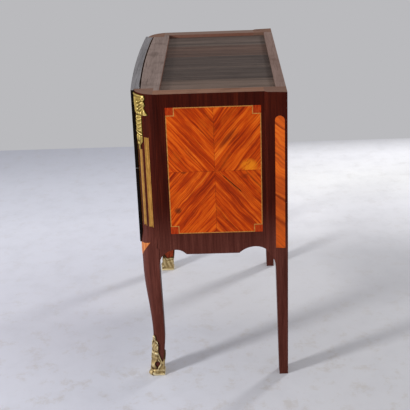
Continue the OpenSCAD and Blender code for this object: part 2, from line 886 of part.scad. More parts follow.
// Gilt foot: a cup round the leg with a leaf up the arris, tips on the corners and a scrolled toe

sabot_n = sabot_arc + 2 * sabot_flat + 2 * sabot_side + 1;
sabot_arc_end = sabot_flat + sabot_arc;
sabot_front_end = sabot_arc_end + sabot_flat;

// Where point i of a ring stands: 0 on the arris, 1 where its rounding ends, 2 on a corner, 3 behind
function sabot_at(i) =
    i <= sabot_flat ? 2 - i / (sabot_flat + 1)
    : i <= sabot_arc_end ? abs(2 * (i - sabot_flat - 0.5) / sabot_arc - 1)
    : i <= sabot_front_end ? 1 + (i - sabot_arc_end) / (sabot_flat + 1)
    : i <= sabot_front_end + sabot_side ? 2 + (i - sabot_front_end - 1) / sabot_side
    : 3 - (i - sabot_front_end - 1 - sabot_side) / sabot_side;

function sabot_top(q) =
    mix(mix(mix(sabot_h, sabot_leaf_h, smooth(q / 0.5)), sabot_scroll_h, smooth((q - 0.62) / 0.2)),
        sabot_rim_h, smooth((q - 0.8) / 0.95))
    + (sabot_side_h - sabot_rim_h) * bump(q - 2, 0.12)
    + (sabot_back_h - sabot_rim_h) * smooth((q - 2.1) / 0.4);

function sabot_swell(q, z) =
    let (front = smooth(1 - 0.75 * q) * (q < 2 ? 1 : 0))
    sabot_t
    + (toe_reach - sabot_t) * front * bump(z - toe_z, 9)
    + 3.5 * front * bump(z - instep_z, 10)
    + 2.5 * bump(z - 4, 8) * (1 - front)
    + 1.4 * front * bump(z - sabot_scroll_h, 12)
    + 0.8 * abs(sin(270 * q)) * smooth((z - 14) / 20)
    + sabot_t * bump(q, 0.3) * smooth((z - sabot_leaf_h) / 14);

function sabot_outer(k) = [for (i = [0:sabot_n - 1])
    let (q = sabot_at(i), z = sabot_top(q) * pow(k / sabot_rings, 1.25))
    leg_ring(z, sabot_swell(q, z), sabot_arc, sabot_flat, sabot_side)[i]];

function sabot_inner(k) = [for (i = [0:sabot_n - 1])
    let (z = mix(sabot_top(sabot_at(i)), sabot_floor, k))
    leg_ring(z, leg_hair, sabot_arc, sabot_flat, sabot_side)[i]];

module foot_mount(side) {
    color(gilt) on_side(side) skin(concat(
        [for (k = [0:sabot_rings]) sabot_outer(k)],
        [for (k = [0:4]) sabot_inner(k / 4)]), fanned = true);
}

// Top frame and its boards

module bolt_mortise(z) {
    gap = 2 * run_gap;
    block(-bolt_w / 2 - gap, bolt_w / 2 + gap, bolt_y - bolt_t / 2 - gap, bolt_y + bolt_t / 2 + gap,
        z - cut, z - head_gap + bolt_throw + gap);
}

module top_front_rail() {
    color(old_oak) difference() {
        union() {
            upright(frame_z, case_h) {
                bowed_plan(post_in, rail_inset, front_rail_back);
                area(-rail_in, rail_in, post_back, front_rail_back);
            }
            both_sides() top_rail_tenon(0);
        }
        board_grooves();
        bolt_mortise(frame_z);
    }
}

module top_back_rail() {
    color(old_oak) difference() {
        union() {
            block(-rail_in, rail_in, back_rail_front, y_back, frame_z, case_h);
            both_sides() intersection() {
                back_tenons(0);
                block(0, case_w, 0, y_back, frame_z, case_h);
            }
        }
        board_grooves();
    }
}

module top_side_rail(side) {
    color(old_oak) on_side(side) difference() {
        upright(frame_z, case_h) intersection() {
            case_plan();
            area(rail_in, half_w, post_back, rear_front);
        }
        board_grooves();
    }
}

module top_boards() {
    run = 2 * rail_in;
    w = (run + board_gap) / board_count;
    reach = tongue_l;
    color(old_oak) for (i = [0:board_count - 1]) {
        x0 = -rail_in + i * w;
        x1 = x0 + w - board_gap;
        block(x0, x1, front_rail_back, back_rail_front, frame_z, board_top);
        block(i == 0 ? x0 - reach : x0, i == board_count - 1 ? x1 + reach : x1,
            front_rail_back - reach, back_rail_front + reach, tongue_z, tongue_z + tongue_t);
    }
}

// Back frame

module back_top_rail() {
    color(old_oak) difference() {
        union() {
            block(-rail_in, rail_in, back_front, y_back, back_high_z, frame_z);
            both_sides() intersection() {
                back_tenons(0);
                block(0, case_w, 0, y_back, back_high_z, frame_z);
            }
        }
        both_sides() back_panel(fit_gap);
    }
}

module back_bottom_rail() {
    color(old_oak) difference() {
        union() {
            block(-rail_in, rail_in, back_front, y_back, clear_h, back_low_z);
            both_sides() intersection() {
                back_tenons(0);
                block(0, case_w, 0, y_back, clear_h, back_low_z);
            }
        }
        both_sides() back_panel(fit_gap);
    }
}

module back_muntin() {
    color(old_oak) difference() {
        block(-muntin_half, muntin_half, back_front, y_back, back_low_z, back_high_z);
        both_sides() back_panel(fit_gap);
    }
}

module back_panels() {
    color(old_oak) both_sides() back_panel(0);
}

// Rail between the drawers, apron, bottom and runners

module mid_rail() {
    color(old_oak) difference() {
        union() {
            upright(mid_rail_z, mid_rail_top) bowed_plan(post_in, rail_inset, mid_rail_back);
            both_sides() mid_rail_tenon(0);
        }
        bolt_mortise(mid_rail_z);
    }
}

module front_apron() {
    color(amaranth) {
        difference() {
            upright(clear_h - apron_drop - cut, bottom_z) difference() {
                bowed_plan(post_in, front_overlay + 1, y_case + apron_t + front_bow);
                bow_disc(front_overlay + 1 + apron_t);
            }
            through(y_mid - cut, post_back) front_void();
        }
        both_sides() apron_tenon(0);
    }
}

module bottom_board() {
    color(old_oak) upright(bottom_z, bottom_top) {
        bowed_plan(post_in, rail_inset, post_back);
        area(panel_t - half_w, half_w - panel_t, post_back, rear_front);
        area(-rail_in, rail_in, rear_front, back_front);
    }
}

module runner_plan(x0) {
    area(x0, half_w - panel_t, mid_rail_back, rear_front);
    area(x0, rail_in, rear_front, back_front);
}

module runner(z0, z1) {
    upright(z0, z1) runner_plan(post_in - runner_bearing);
    upright(z1, z1 + guide_h) runner_plan(post_in);
}

module drawer_runners() {
    color(old_oak) both_sides() {
        runner(mid_rail_top - runner_t, mid_rail_top);
        runner(bottom_top, low_run_z);
    }
}

// Drawers: d holds the levels of one drawer

module keyhole() {
    circle(r = key_r, $fn = small_fn);
    area(-key_r / 2, key_r / 2, -key_slot, 0);
}

function lock_z(d) = d[3] - lock_h / 2;
function pull_z(d) = (d[0] + d[1]) / 2 + ring_r;
function tail_pitch(d) = (d[3] - d[2] - 2 * side_t) / dovetail_count;

module at_keyhole(d, y0, y1) {
    through(y0, y1) translate([0, lock_z(d)]) keyhole();
}

// Frame of a pull: X along the front, Y into the wood, Z up, from a point on the bowed surface
module at_pull(d) {
    translate([pull_x, bow_at_pull, pull_z(d)]) rotate([0, 0, pull_tilt]) children();
}

module shank_holes(d) {
    both_sides() at_pull(d) rotate([90, 0, 0])
        cylinder(r = shank_r + fit_gap, h = 4 * front_t, center = true, $fn = small_fn);
}

// Tails of the drawer side, wider at their ends, seen from the side
module tails(d) {
    half = tail_pitch(d) / 4;
    for (i = [0:dovetail_count - 1]) {
        z = d[2] + side_t + (i + 0.5) * tail_pitch(d);
        polygon([
            [shoulder_y, z - half], [shoulder_y, z + half],
            [shoulder_y - side_t, z + half + dovetail_flare], [shoulder_y - side_t, z - half - dovetail_flare]]);
    }
}

module drawer_bottom_solid(d, g) {
    upright(d[2] + bottom_lift - g, d[2] + bottom_lift + box_bottom_t + g)
        bowed_plan(box_in + box_groove + g, front_t - box_groove - g, box_back);
}

module front_plan() {
    bowed_plan(front_half, 0, y_case - run_gap);
    difference() {
        bowed_plan(box_half, 0, shoulder_y);
        intersection() {
            bow_disc(front_t);
            area(-pad_in, pad_in, y_mid, shoulder_y + cut);
        }
    }
}

function drawer_field_w() = 2 * (front_half - drawer_end_margin);
function drawer_field_h(d) = d[1] - d[0] - 2 * drawer_margin;

module drawer_front(d) {
    color(amaranth) difference() {
        upright(d[0], d[1]) front_plan();
        upright(d[0] + drawer_margin, d[1] - drawer_margin) difference() {
            area(-drawer_field_w() / 2, drawer_field_w() / 2, y_mid - cut, y_end + cut);
            bow_disc(veneer_t + fit_gap / 2);
        }
        both_sides() across(box_in - fit_gap / 2, box_half + cut) tails(d);
        drawer_bottom_solid(d, fit_gap / 2);
        block(-lock_w / 2, lock_w / 2, lock_back - lock_d, shoulder_y, d[3] - lock_h, d[3]);
        at_keyhole(d, y_mid - cut, shoulder_y);
        shank_holes(d);
    }
}

// Side of a drawer with a rounded upper edge, tails in front and grooves for the bottom and the back
module drawer_side(d, side) {
    edge_r = side_t / 2;
    color(drawer_oak) on_side(side) difference() {
        union() {
            block(box_in, box_half, shoulder_y, box_back, d[2], d[3] - edge_r);
            translate([box_in + edge_r, box_back, d[3] - edge_r]) rotate([90, 0, 0])
                cylinder(r = edge_r, h = box_back - shoulder_y, $fn = small_fn);
            across(box_in, box_half) tails(d);
        }
        drawer_bottom_solid(d, fit_gap / 2);
        drawer_back_solid(d, fit_gap / 2);
    }
}

module drawer_back_solid(d, g) {
    half = box_in + box_groove + g;
    block(-half, half, box_back - box_back_t - box_groove - g, box_back - box_groove + g,
        d[2] + bottom_lift + box_bottom_t - g, d[3] - side_t + g);
}

module drawer_back(d) {
    color(drawer_oak) drawer_back_solid(d, 0);
}

module drawer_bottom(d) {
    color(drawer_oak) drawer_bottom_solid(d, 0);
}

// Inlay that follows the bow of a drawer front
module bowed_inlay(d) {
    intersection() {
        upright(d[0], d[1]) difference() {
            bowed_plan(front_half, 0, y_end + cut);
            bow_disc(veneer_t);
        }
        through(y_mid - cut, y_end + 2 * cut) translate([0, (d[0] + d[1]) / 2]) children();
    }
}

module drawer_marquetry(d) {
    color(tulipwood) difference() {
        bowed_inlay(d) {
            leaves(drawer_field_w(), drawer_field_h(d));
            corner_squares(drawer_field_w(), drawer_field_h(d), corner_sq);
        }
        at_keyhole(d, y_mid - cut, y_end + cut);
        shank_holes(d);
    }
}

module drawer_stringing(d) {
    color(boxwood) bowed_inlay(d) stringing(drawer_field_w(), drawer_field_h(d));
}

module escutcheon(d) {
    lens_r = (escutcheon_high * escutcheon_high + escutcheon_half * escutcheon_half) / (2 * escutcheon_half);
    color(gilt) difference() {
        through(y_mid - escutcheon_t, y_mid) translate([0, lock_z(d)]) difference() {
            intersection_for(i = [-1, 1]) translate([i * (lens_r - escutcheon_half), 0])
                circle(r = lens_r, $fn = corner_fn);
            keyhole();
        }
        through(y_mid - 2 * escutcheon_t, y_mid - escutcheon_t * 0.7) translate([0, lock_z(d)])
            intersection_for(i = [-1, 1]) translate([i * (lens_r - escutcheon_half), 0])
                circle(r = lens_r - 2.5, $fn = corner_fn);
    }
}

module lock_case(d) {
    side_gap = bolt_w / 2 + run_gap;
    deep = bolt_t / 2 + run_gap;
    color(iron) difference() {
        block(-lock_w / 2, lock_w / 2, lock_back - lock_d, lock_back, d[3] - lock_h, d[3]);
        block(-side_gap, side_gap, bolt_y - deep, bolt_y + deep, d[3] - bolt_h - run_gap, d[3] + cut);
        at_keyhole(d, lock_back - lock_d - cut, bolt_y);
    }
}

module lock_bolt(d) {
    color(polished_brass) difference() {
        block(-bolt_w / 2, bolt_w / 2, bolt_y - bolt_t / 2, bolt_y + bolt_t / 2, d[3] - bolt_h, d[3]);
        through(bolt_y - bolt_t, bolt_y + bolt_t) translate([0, d[3] - bolt_h])
            circle(r = bolt_w / 4, $fn = small_fn);
    }
}

// Outline of half a rosette, from its middle to its rim
module rosette_profile() {
    polygon([
        [0, 0], [rosette_r, 0], [rosette_r, rosette_t * 0.35], [rosette_r * 0.93, rosette_t * 0.6],
        [rosette_r * 0.81, rosette_t * 0.45], [rosette_r * 0.66, rosette_t * 0.85],
        [rosette_r * 0.5, rosette_t], [0, rosette_t]]);
}

module at_hinge() {
    translate([0, -ring_off, 0]) rotate([0, 90, 0]) children();
}

// Rosette with the eye of its ring and its threaded shank, cast in one
module pull_plate() {
    difference() {
        union() {
            rotate([90, 0, 0]) rotate_extrude($fn = corner_fn) rosette_profile();
            at_hinge() cylinder(r = eye_r, h = eye_t, center = true, $fn = small_fn);
            block(-eye_t / 2, eye_t / 2, -ring_off, -rosette_t / 2, -eye_r, eye_r);
        }
        at_hinge() cylinder(r = wire_r + ring_gap, h = 2 * eye_t, center = true, $fn = small_fn);
    }
    translate([0, -rosette_t / 2, 0]) rotate([-90, 0, 0])
        cylinder(r = shank_r, h = rosette_t / 2 + front_t + nut_t + 2, $fn = small_fn);
}

module pull_plates(d) {
    color(gilt) both_sides() at_pull(d) pull_plate();
}

module pull_nuts(d) {
    color(polished_brass) both_sides() at_pull(d) through(front_t, front_t + nut_t) difference() {
        circle(d = nut_w, $fn = 6);
        circle(r = shank_r + leg_hair, $fn = small_fn);
    }
}

module pull_ring(d, side) {
    color(gilt) on_side(side) at_pull(d) translate([0, -ring_off, -ring_r])
        rotate([90, 0, 0]) rotate_extrude($fn = corner_fn) translate([ring_r, 0])
            circle(r = wire_r, $fn = small_fn);
}

front_post(1);  // front_post_right
front_post(-1);  // front_post_left
rear_post(1);  // rear_post_right
rear_post(-1);  // rear_post_left
side_panel(1);  // side_panel_right
side_panel(-1);  // side_panel_left
side_leaves(1);  // side_leaves_right
side_leaves(-1);  // side_leaves_left
side_stringing(1);  // side_stringing_right
side_stringing(-1);  // side_stringing_left
side_corner_squares();
rear_post_strips();
brass_flutes();
corner_mount(1);  // corner_mount_right
corner_mount(-1);  // corner_mount_left
foot_mount(1);  // foot_mount_right
foot_mount(-1);  // foot_mount_left
top_front_rail();
top_back_rail();
top_side_rail(1);  // top_side_rail_right
top_side_rail(-1);  // top_side_rail_left
top_boards();
back_top_rail();
back_bottom_rail();
back_muntin();
back_panels();
mid_rail();
front_apron();
bottom_board();
drawer_runners();
drawer_front(upper);  // upper_drawer_front
drawer_side(upper, 1);  // upper_drawer_side_right
drawer_side(upper, -1);  // upper_drawer_side_left
drawer_back(upper);  // upper_drawer_back
drawer_bottom(upper);  // upper_drawer_bottom
drawer_marquetry(upper);  // upper_marquetry
drawer_stringing(upper);  // upper_stringing
escutcheon(upper);  // upper_escutcheon
lock_case(upper);  // upper_lock_case
lock_bolt(upper);  // upper_lock_bolt
pull_plates(upper);  // upper_pull_plates
pull_nuts(upper);  // upper_pull_nuts
pull_ring(upper, 1);  // upper_ring_right
pull_ring(upper, -1);  // upper_ring_left
drawer_front(lower);  // lower_drawer_front
drawer_side(lower, 1);  // lower_drawer_side_right
drawer_side(lower, -1);  // lower_drawer_side_left
drawer_back(lower);  // lower_drawer_back
drawer_bottom(lower);  // lower_drawer_bottom
drawer_marquetry(lower);  // lower_marquetry
drawer_stringing(lower);  // lower_stringing
escutcheon(lower);  // lower_escutcheon
lock_case(lower);  // lower_lock_case
lock_bolt(lower);  // lower_lock_bolt
pull_plates(lower);  // lower_pull_plates
pull_nuts(lower);  // lower_pull_nuts
pull_ring(lower, 1);  // lower_ring_right
pull_ring(lower, -1);  // lower_ring_left
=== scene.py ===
import math

import bpy
import numpy as np
from mathutils import Matrix, Vector


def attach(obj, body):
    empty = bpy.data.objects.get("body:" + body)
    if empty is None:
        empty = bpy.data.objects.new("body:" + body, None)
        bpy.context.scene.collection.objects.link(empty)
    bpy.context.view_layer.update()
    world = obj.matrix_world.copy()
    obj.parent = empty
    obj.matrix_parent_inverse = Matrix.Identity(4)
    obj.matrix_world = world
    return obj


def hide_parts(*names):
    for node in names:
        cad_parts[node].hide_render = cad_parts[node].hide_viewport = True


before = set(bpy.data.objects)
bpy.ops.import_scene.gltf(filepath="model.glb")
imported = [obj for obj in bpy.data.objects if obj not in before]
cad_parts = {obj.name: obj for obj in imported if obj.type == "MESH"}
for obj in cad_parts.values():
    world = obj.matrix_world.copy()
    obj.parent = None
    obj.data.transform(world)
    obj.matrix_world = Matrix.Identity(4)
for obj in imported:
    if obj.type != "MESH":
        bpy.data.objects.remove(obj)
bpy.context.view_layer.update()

MM = 0.001

# Sizes of the chest that the finishes and the mounts follow, in mm. x is 0 in the middle and
# grows to the right side of the chest, y grows to its back, and z is 0 on the floor.
HALF_W = 372.0
BACK_Y = 209.467
CASE_Y = BACK_Y - 393.0
KNEE_Y = CASE_Y - 5.5
CLEAR_H = 382.0
BOTTOM_Z = 400.0
SEAM_Z = 616.0
SAWN_TOP = 820.0
SAWN_FOOT = 20.0
POST_R = 62.5
POST_IN = 310.0
POST_BACK = CASE_Y + 51.0
CORNER_X = HALF_W - POST_R
CORNER_Y = CASE_Y + POST_R
RAIL_IN = 332.0
PANEL_IN = 352.0
FRONT_END = 318.0
BOARD_W = 133.04
SIDE_MIDDLE = (20.217, 618.5)
UPPER_MIDDLE = (0.0, 723.5)
LOWER_MIDDLE = (0.0, 508.5)
DRAWER_FIELD_W = 568.0
DRAWER_FIELD_H = 165.0
CORNER_SQ = 20.5

# A front leg narrows from LEG_TOP down to its ankle, and kicks out from there to the floor
LEG_TOP = 340.0
ANKLE_Z = 125.0
LEG_SIDE_IN, FOOT_SIDE_OUT = 17.0, 6.0
LEG_FRONT_IN, FOOT_FRONT_OUT = 19.5, 9.0
LEG_W, LEG_W_LOSS = 45.0, 13.0
LEG_D, LEG_D_LOSS = 50.5, 17.5
LEG_INNER_X = 345.0
ARRIS_R = 18.0

# The light veneer of a knee starts in a point and widens upwards behind the front of the leg
KNEE_LEAST = 346.0
KNEE_TIP = 352.0
KNEE_RISE = 62.0
KNEE_REACH = 28.0
KNEE_TOP = 403.0

scene = bpy.context.scene
scene.view_settings.view_transform = "Standard"


def card(red, green, blue):
    """Linear colour of a paint card given from 0 to 255."""
    def channel(value):
        value /= 255
        return value / 12.92 if value <= 0.04045 else ((value + 0.055) / 1.055) ** 2.4
    return (channel(red), channel(green), channel(blue), 1.0)


# Shader sums


class Value:
    """A shader socket that is written like a number."""

    def __init__(self, finish, socket):
        self.finish = finish
        self.socket = socket

    def __add__(self, other):
        return self.finish.math("ADD", self, other)

    def __sub__(self, other):
        return self.finish.math("SUBTRACT", self, other)

    def __rsub__(self, other):
        return self.finish.math("SUBTRACT", other, self)

    def __mul__(self, other):
        return self.finish.math("MULTIPLY", self, other)

    def __truediv__(self, other):
        return self.finish.math("DIVIDE", self, other)

    def __rtruediv__(self, other):
        return self.finish.math("DIVIDE", other, self)

    def __pow__(self, other):
        return self.finish.math("POWER", self, other)

    def __rpow__(self, other):
        return self.finish.math("POWER", other, self)

    def __lt__(self, other):
        return self.finish.math("LESS_THAN", self, other)

    def __gt__(self, other):
        return self.finish.math("GREATER_THAN", self, other)

    def __or__(self, other):
        return self.finish.math("MAXIMUM", self, other)

    def __and__(self, other):
        return self.finish.math("MINIMUM", self, other)

    def __abs__(self):
        return self.finish.math("ABSOLUTE", self)

    __radd__ = __add__
    __rmul__ = __mul__
    __ror__ = __or__
    __rand__ = __and__


# A mix node has sockets for every kind of value: these are its share, its two colours and its
# resulting colour
MIX_SHARE, MIX_FIRST, MIX_SECOND, MIX_RESULT = 0, 6, 7, 2


class Finish:
    """One material, built up node by node."""

    def __init__(self, name):
        self.material = bpy.data.materials.new(name)
        self.material.use_nodes = True
        self.tree = self.material.node_tree
        self.tree.nodes.clear()
        spot = self.add("ShaderNodeTexCoord", output="Object")
        self.facing = Value(self, spot.socket.node.outputs["Normal"])
        self.place = self.vector("MULTIPLY", spot, (1000.0, 1000.0, 1000.0))

    def add(self, kind, settings=None, values=None, output=0):
        """Adds a node: its settings first, then the values or links of its sockets."""
        node = self.tree.nodes.new(kind)
        for key, value in (settings or {}).items():
            if key == "stops":
                ramp = node.color_ramp.elements
                while len(ramp) < len(value):
                    ramp.new(1.0)
                for element, (position, color) in zip(ramp, value):
                    element.position = position
                    element.color = color
            else:
                setattr(node, key, value)
        pairs = values.items() if isinstance(values, dict) else enumerate(values or [])
        for key, value in pairs:
            if isinstance(value, Value):
                self.tree.links.new(value.socket, node.inputs[key])
            else:
                node.inputs[key].default_value = value
        return Value(self, node.outputs[output]) if len(node.outputs) else None

    def math(self, operation, *values):
        return self.add("ShaderNodeMath", {"operation": operation}, values)

    def vector(self, operation, *values):
        return self.add("ShaderNodeVectorMath", {"operation": operation}, values)

    def parts(self, vector):
        first = self.add("ShaderNodeSeparateXYZ", None, [vector])
        return [Value(self, socket) for socket in first.socket.node.outputs]

    def joined(self, x, y, z):
        return self.add("ShaderNodeCombineXYZ", None, [x, y, z])

    def noise(self, vector, stretch=(1.0, 1.0, 1.0), detail=2.0, roughness=0.55, bend=0.0):
        """Noise from 0 to 1 whose patches are one unit across after the stretch."""
        return self.add("ShaderNodeTexNoise", {"noise_dimensions": "3D"},
                        {"Vector": self.vector("MULTIPLY", vector, stretch), "Scale": 1.0,
                         "Detail": detail, "Roughness": roughness, "Distortion": bend}, "Fac")

    def step(self, value, low, high, start=0.0, end=1.0):
        """Smooth step of value from low to high; low may be the larger one."""
        return self.add("ShaderNodeMapRange", {"interpolation_type": "SMOOTHSTEP", "clamp": True},
                        {"Value": value, "From Min": low, "From Max": high,
                         "To Min": start, "To Max": end})

    def mix(self, share, first, second):
        return self.add("ShaderNodeMix", {"data_type": "RGBA", "clamp_factor": True},
                        {MIX_SHARE: share, MIX_FIRST: first, MIX_SECOND: second}, MIX_RESULT)

    def ramp(self, value, *stops):
        return self.add("ShaderNodeValToRGB", {"stops": stops}, [value])

    def read(self, attribute):
        return self.add("ShaderNodeAttribute", {"attribute_name": attribute}, output="Fac")

    def polish(self, color, rough, height, depth, metallic=0.0, **fixed):
        """Closes the material with its relief; fixed holds the shader's own numbers."""
        normal = self.add("ShaderNodeBump", None,
                          {"Strength": 1.0, "Distance": depth, "Height": height})
        values = {"Base Color": color, "Roughness": rough, "Metallic": metallic, "Normal": normal}
        values.update({key.replace("_", " "): value for key, value in fixed.items()})
        shader = self.add("ShaderNodeBsdfPrincipled", None, values)
        self.add("ShaderNodeOutputMaterial", None, {"Surface": shader})
        return self.material


# Amaranth, bare oak and the boards

# The part of a normal along an axis from which a face counts as square to that axis
SQUARE_ON = 0.9

GRAINS = {"x": (0.02, 1.0, 1.0), "y": (1.0, 0.02, 1.0), "z": (1.0, 1.0, 0.02)}

# Heights between which the dark brown of the case turns into the paler, redder legs: painted light
# from the pale floor on the lower parts
FLOOR_LIGHT_START_Z, FLOOR_LIGHT_FULL_Z = 540.0, 385.0


def grain(direction, fineness, run=1.0):
    """Stretch of a noise whose streaks run in one direction."""
    return tuple(fineness * (run if s < 1.0 else 1.0) * s for s in GRAINS[direction])


def bare_oak(f, direction, deep, light, stain):
    """Unpolished oak gone grey: long fibres, cracks and stains. Gives its colour and height."""
    fibres = f.noise(f.place, grain(direction, 0.75, 1.6), 4.0, 0.65)
    bands = f.noise(f.place, grain(direction, 0.09, 2.0), 2.0)
    blotch = f.noise(f.place, (0.016, 0.016, 0.016), 3.0)
    tone = fibres * 0.62 + bands * 0.38
    color = f.ramp(tone, (0.3, deep), (0.68, light))
    cracks = f.step(f.noise(f.place, grain(direction, 0.5, 0.6), 1.0), 0.66, 0.72)
    color = f.mix(cracks * 0.55, color, stain)
    color = f.mix(f.step(blotch, 0.5, 0.72) * 0.4, color, stain)
    return color, fibres - cracks * 0.8


def amaranth_wood(f):
    """Purple wood gone brown under its polish, with painted floor light making it redder and paler
    on the legs.

    Gives its colour, roughness and height.
    """
    y, z = f.parts(f.place)[1:]
    streaks = f.noise(f.place, grain("z", 0.1, 2.2), 3.0, 0.6)
    fine = f.noise(f.place, grain("z", 0.55, 1.2), 3.0, 0.6)
    pores = f.step(f.noise(f.place, grain("z", 2.4, 3.5), 1.0), 0.62, 0.7)
    tone = streaks * 0.55 + fine * 0.45
    upper = f.ramp(tone, (0.3, card(40, 8, 3)), (0.5, card(60, 16, 7)), (0.7, card(84, 28, 13)))
    lower = f.ramp(tone, (0.3, card(64, 28, 21)), (0.5, card(86, 43, 35)), (0.7, card(108, 60, 50)))
    # Painted light: towards the floor the paler lower ramp takes over, standing for light thrown up
    # by the floor
    color = f.mix(f.step(z, FLOOR_LIGHT_START_Z, FLOOR_LIGHT_FULL_Z), upper, lower)
    color = f.mix(pores * 0.5, color, card(26, 8, 5))
    joint = f.step(abs(y - POST_BACK), 0.9, 0.2)
    color = f.mix(joint * 0.6, color, card(22, 8, 6))
    return color, 0.36 + fine * 0.14 + pores * 0.15, fine * 0.35 - pores * 0.65


def knee_veneer(f, color):
    """Lays the light veneer on a knee and the redder wood on the inner faces of its leg."""
    x, y, z = f.parts(f.place)
    nx = f.parts(f.facing)[0]
    front = KNEE_Y + f.step(z, LEG_TOP, ANKLE_Z, 0.0, LEG_FRONT_IN)
    front = front - f.step(z, ANKLE_Z, 0.0, 0.0, FOOT_FRONT_OUT)
    behind = y - front
    reach = KNEE_REACH * ((z - KNEE_TIP) / KNEE_RISE | 0.0) ** 1.6
    field = (behind < reach) * ((z - behind * 0.4) < KNEE_TOP) * (z > KNEE_LEAST)
    field = field * (abs(x) > POST_IN + 0.5)
    flame = f.noise(f.place, (0.55, 0.3, 0.02), 4.0, 0.6)
    color = f.mix(field, color, f.ramp(flame, (0.3, card(124, 60, 24)), (0.5, card(192, 108, 54)),
                                       (0.7, card(232, 164, 104))))
    inward = (abs(nx) > 0.8) * (abs(x) < LEG_INNER_X) * (z < BOTTOM_Z)
    return f.mix(inward, color, f.ramp(flame, (0.3, card(92, 34, 20)), (0.7, card(158, 66, 38))))


def amaranth(name, inner=None, leg=False, front_face=False):
    """Amaranth of a post, panel or front, left bare on its sawn ends and inside the case."""
    f = Finish(name)
    x, _, z = f.parts(f.place)
    nx, ny, nz = f.parts(f.facing)
    color, rough, height = amaranth_wood(f)
    if leg:
        color = knee_veneer(f, color)
    if front_face:
        # Painted shade: the end faces of the drawer fronts, beyond the posts, are painted near
        # black
        color = f.mix((abs(nx) > SQUARE_ON) * (abs(x) > FRONT_END), color, card(15, 9, 7))
        bare, fibres = bare_oak(f, "x", card(100, 97, 98), card(152, 149, 151), card(66, 60, 60))
        raw = abs(nz) > SQUARE_ON
    else:
        bare, fibres = bare_oak(f, "y", card(106, 78, 66), card(140, 108, 92), card(70, 46, 36))
        raw = (abs(nz) > SQUARE_ON) * ((z > SAWN_TOP) | (z < SAWN_FOOT))
    back, back_fibres = bare_oak(f, "z", card(78, 54, 39), card(122, 90, 65), card(50, 34, 25))
    behind_case = (ny > SQUARE_ON) * (z > BOTTOM_Z) if leg else ny > SQUARE_ON
    bare = f.mix(behind_case, bare, back)
    fibres = fibres + behind_case * (back_fibres - fibres)
    raw = raw | behind_case
    if inner is not None:
        raw = raw | (abs(nx) > SQUARE_ON) * (abs(x) < inner + 1.0) * (z > CLEAR_H)
    color = f.mix(raw, color, bare)
    height = height + raw * (fibres - height)
    return f.polish(color, rough + raw * 0.3, height, 0.00025, Specular_IOR_Level=0.05)


def frame_oak():
    """Top frame: greyer front and back rails, redder side rails veneered on their outer faces, with
    painted shade greying the far side rail and darkening the inner walls of the rails.
    """
    f = Finish("bare oak of the frame")
    x, y = f.parts(f.place)[:2]
    nx, ny = f.parts(f.facing)[:2]
    crossing = abs(x) > RAIL_IN + 0.5
    long, long_fibres = bare_oak(f, "x", card(114, 98, 91), card(155, 136, 128), card(78, 62, 55))
    long = f.mix((y > 0.0) * 0.4, long, f.mix(0.5, long, card(128, 76, 52)))
    short, short_fibres = bare_oak(f, "y", card(119, 84, 67), card(159, 119, 97), card(78, 50, 38))
    veneer, rough, relief = amaranth_wood(f)
    # Painted shade: the far (left) side rail is greyed
    short = f.mix((x < 0.0) * 0.7, short, card(126, 109, 101))
    # Painted shade: the inner walls of the rails round the sunk boards are darkened
    inside = (abs(nx) > SQUARE_ON) * (abs(x) < RAIL_IN + 1.0) | (ny > SQUARE_ON) * (y < 0.0)
    short = f.mix(inside * 0.85, short, card(84, 44, 34))
    long = f.mix(inside * 0.7, long, card(124, 74, 54))
    outside = (abs(nx) > SQUARE_ON) * (abs(x) > HALF_W - 2.0)
    color = f.mix(outside, f.mix(crossing, long, short), veneer)
    height = long_fibres + crossing * (short_fibres - long_fibres)
    height = height + outside * (relief - height)
    rough = rough + (1.0 - outside) * 0.32
    return f.polish(color, rough, height, 0.0003, Specular_IOR_Level=0.05)


# One tone for each top board, from the left end of the chest to the right end
BOARD_TONES = (card(104, 88, 79), card(112, 78, 62), card(71, 58, 52), card(79, 66, 59),
               card(132, 109, 94))


def weathered_boards(f, color, height):
    """Tones, dark stains and saw marks of the top boards, which run from front to back."""
    count = len(BOARD_TONES)
    board = f.math("FLOOR", (f.parts(f.place)[0] + RAIL_IN) / BOARD_W)
    tones = [((i + 0.5) / count, tone) for i, tone in enumerate(BOARD_TONES)]
    color = f.mix(0.5, color, f.ramp((board + 0.5) / float(count), *tones))
    broad = f.noise(f.place, (0.035, 0.0012, 1.0), 3.0, 0.65)
    color = f.mix(f.step(broad, 0.5, 0.64) * 0.5, color, card(48, 38, 33))
    color = f.mix(f.step(broad, 0.46, 0.36) * 0.16, color, card(130, 112, 100))
    long_lines = f.noise(f.place, (0.13, 0.0016, 1.0), 3.0, 0.7)
    saw = f.noise(f.place, (0.5, 0.003, 1.0), 3.0, 0.7)
    color = f.mix(f.step(long_lines, 0.52, 0.64) * 0.55, color, card(52, 41, 36))
    color = f.mix(f.step(saw, 0.54, 0.66) * 0.8, color, card(36, 29, 26))
    color = f.mix(f.step(saw, 0.44, 0.32) * 0.28, color, card(132, 116, 106))
    return color, height - f.step(saw, 0.56, 0.7) * 0.8


def oak(name, direction, deep, light, stain, boards=False):
    """Bare or planed oak of the boards, the inner frame and the drawers."""
    f = Finish(name)
    color, height = bare_oak(f, direction, deep, light, stain)
    if boards:
        color, height = weathered_boards(f, color, height)
    return f.polish(color, 0.72 + height * 0.16, height, 0.0004, Specular_IOR_Level=0.2)


# Tulipwood and its stringing

# Slopes of the streaks in the leaves of the sides and of the drawers, in degrees
SIDE_SLOPE, DRAWER_SLOPE = 50.0, 30.0

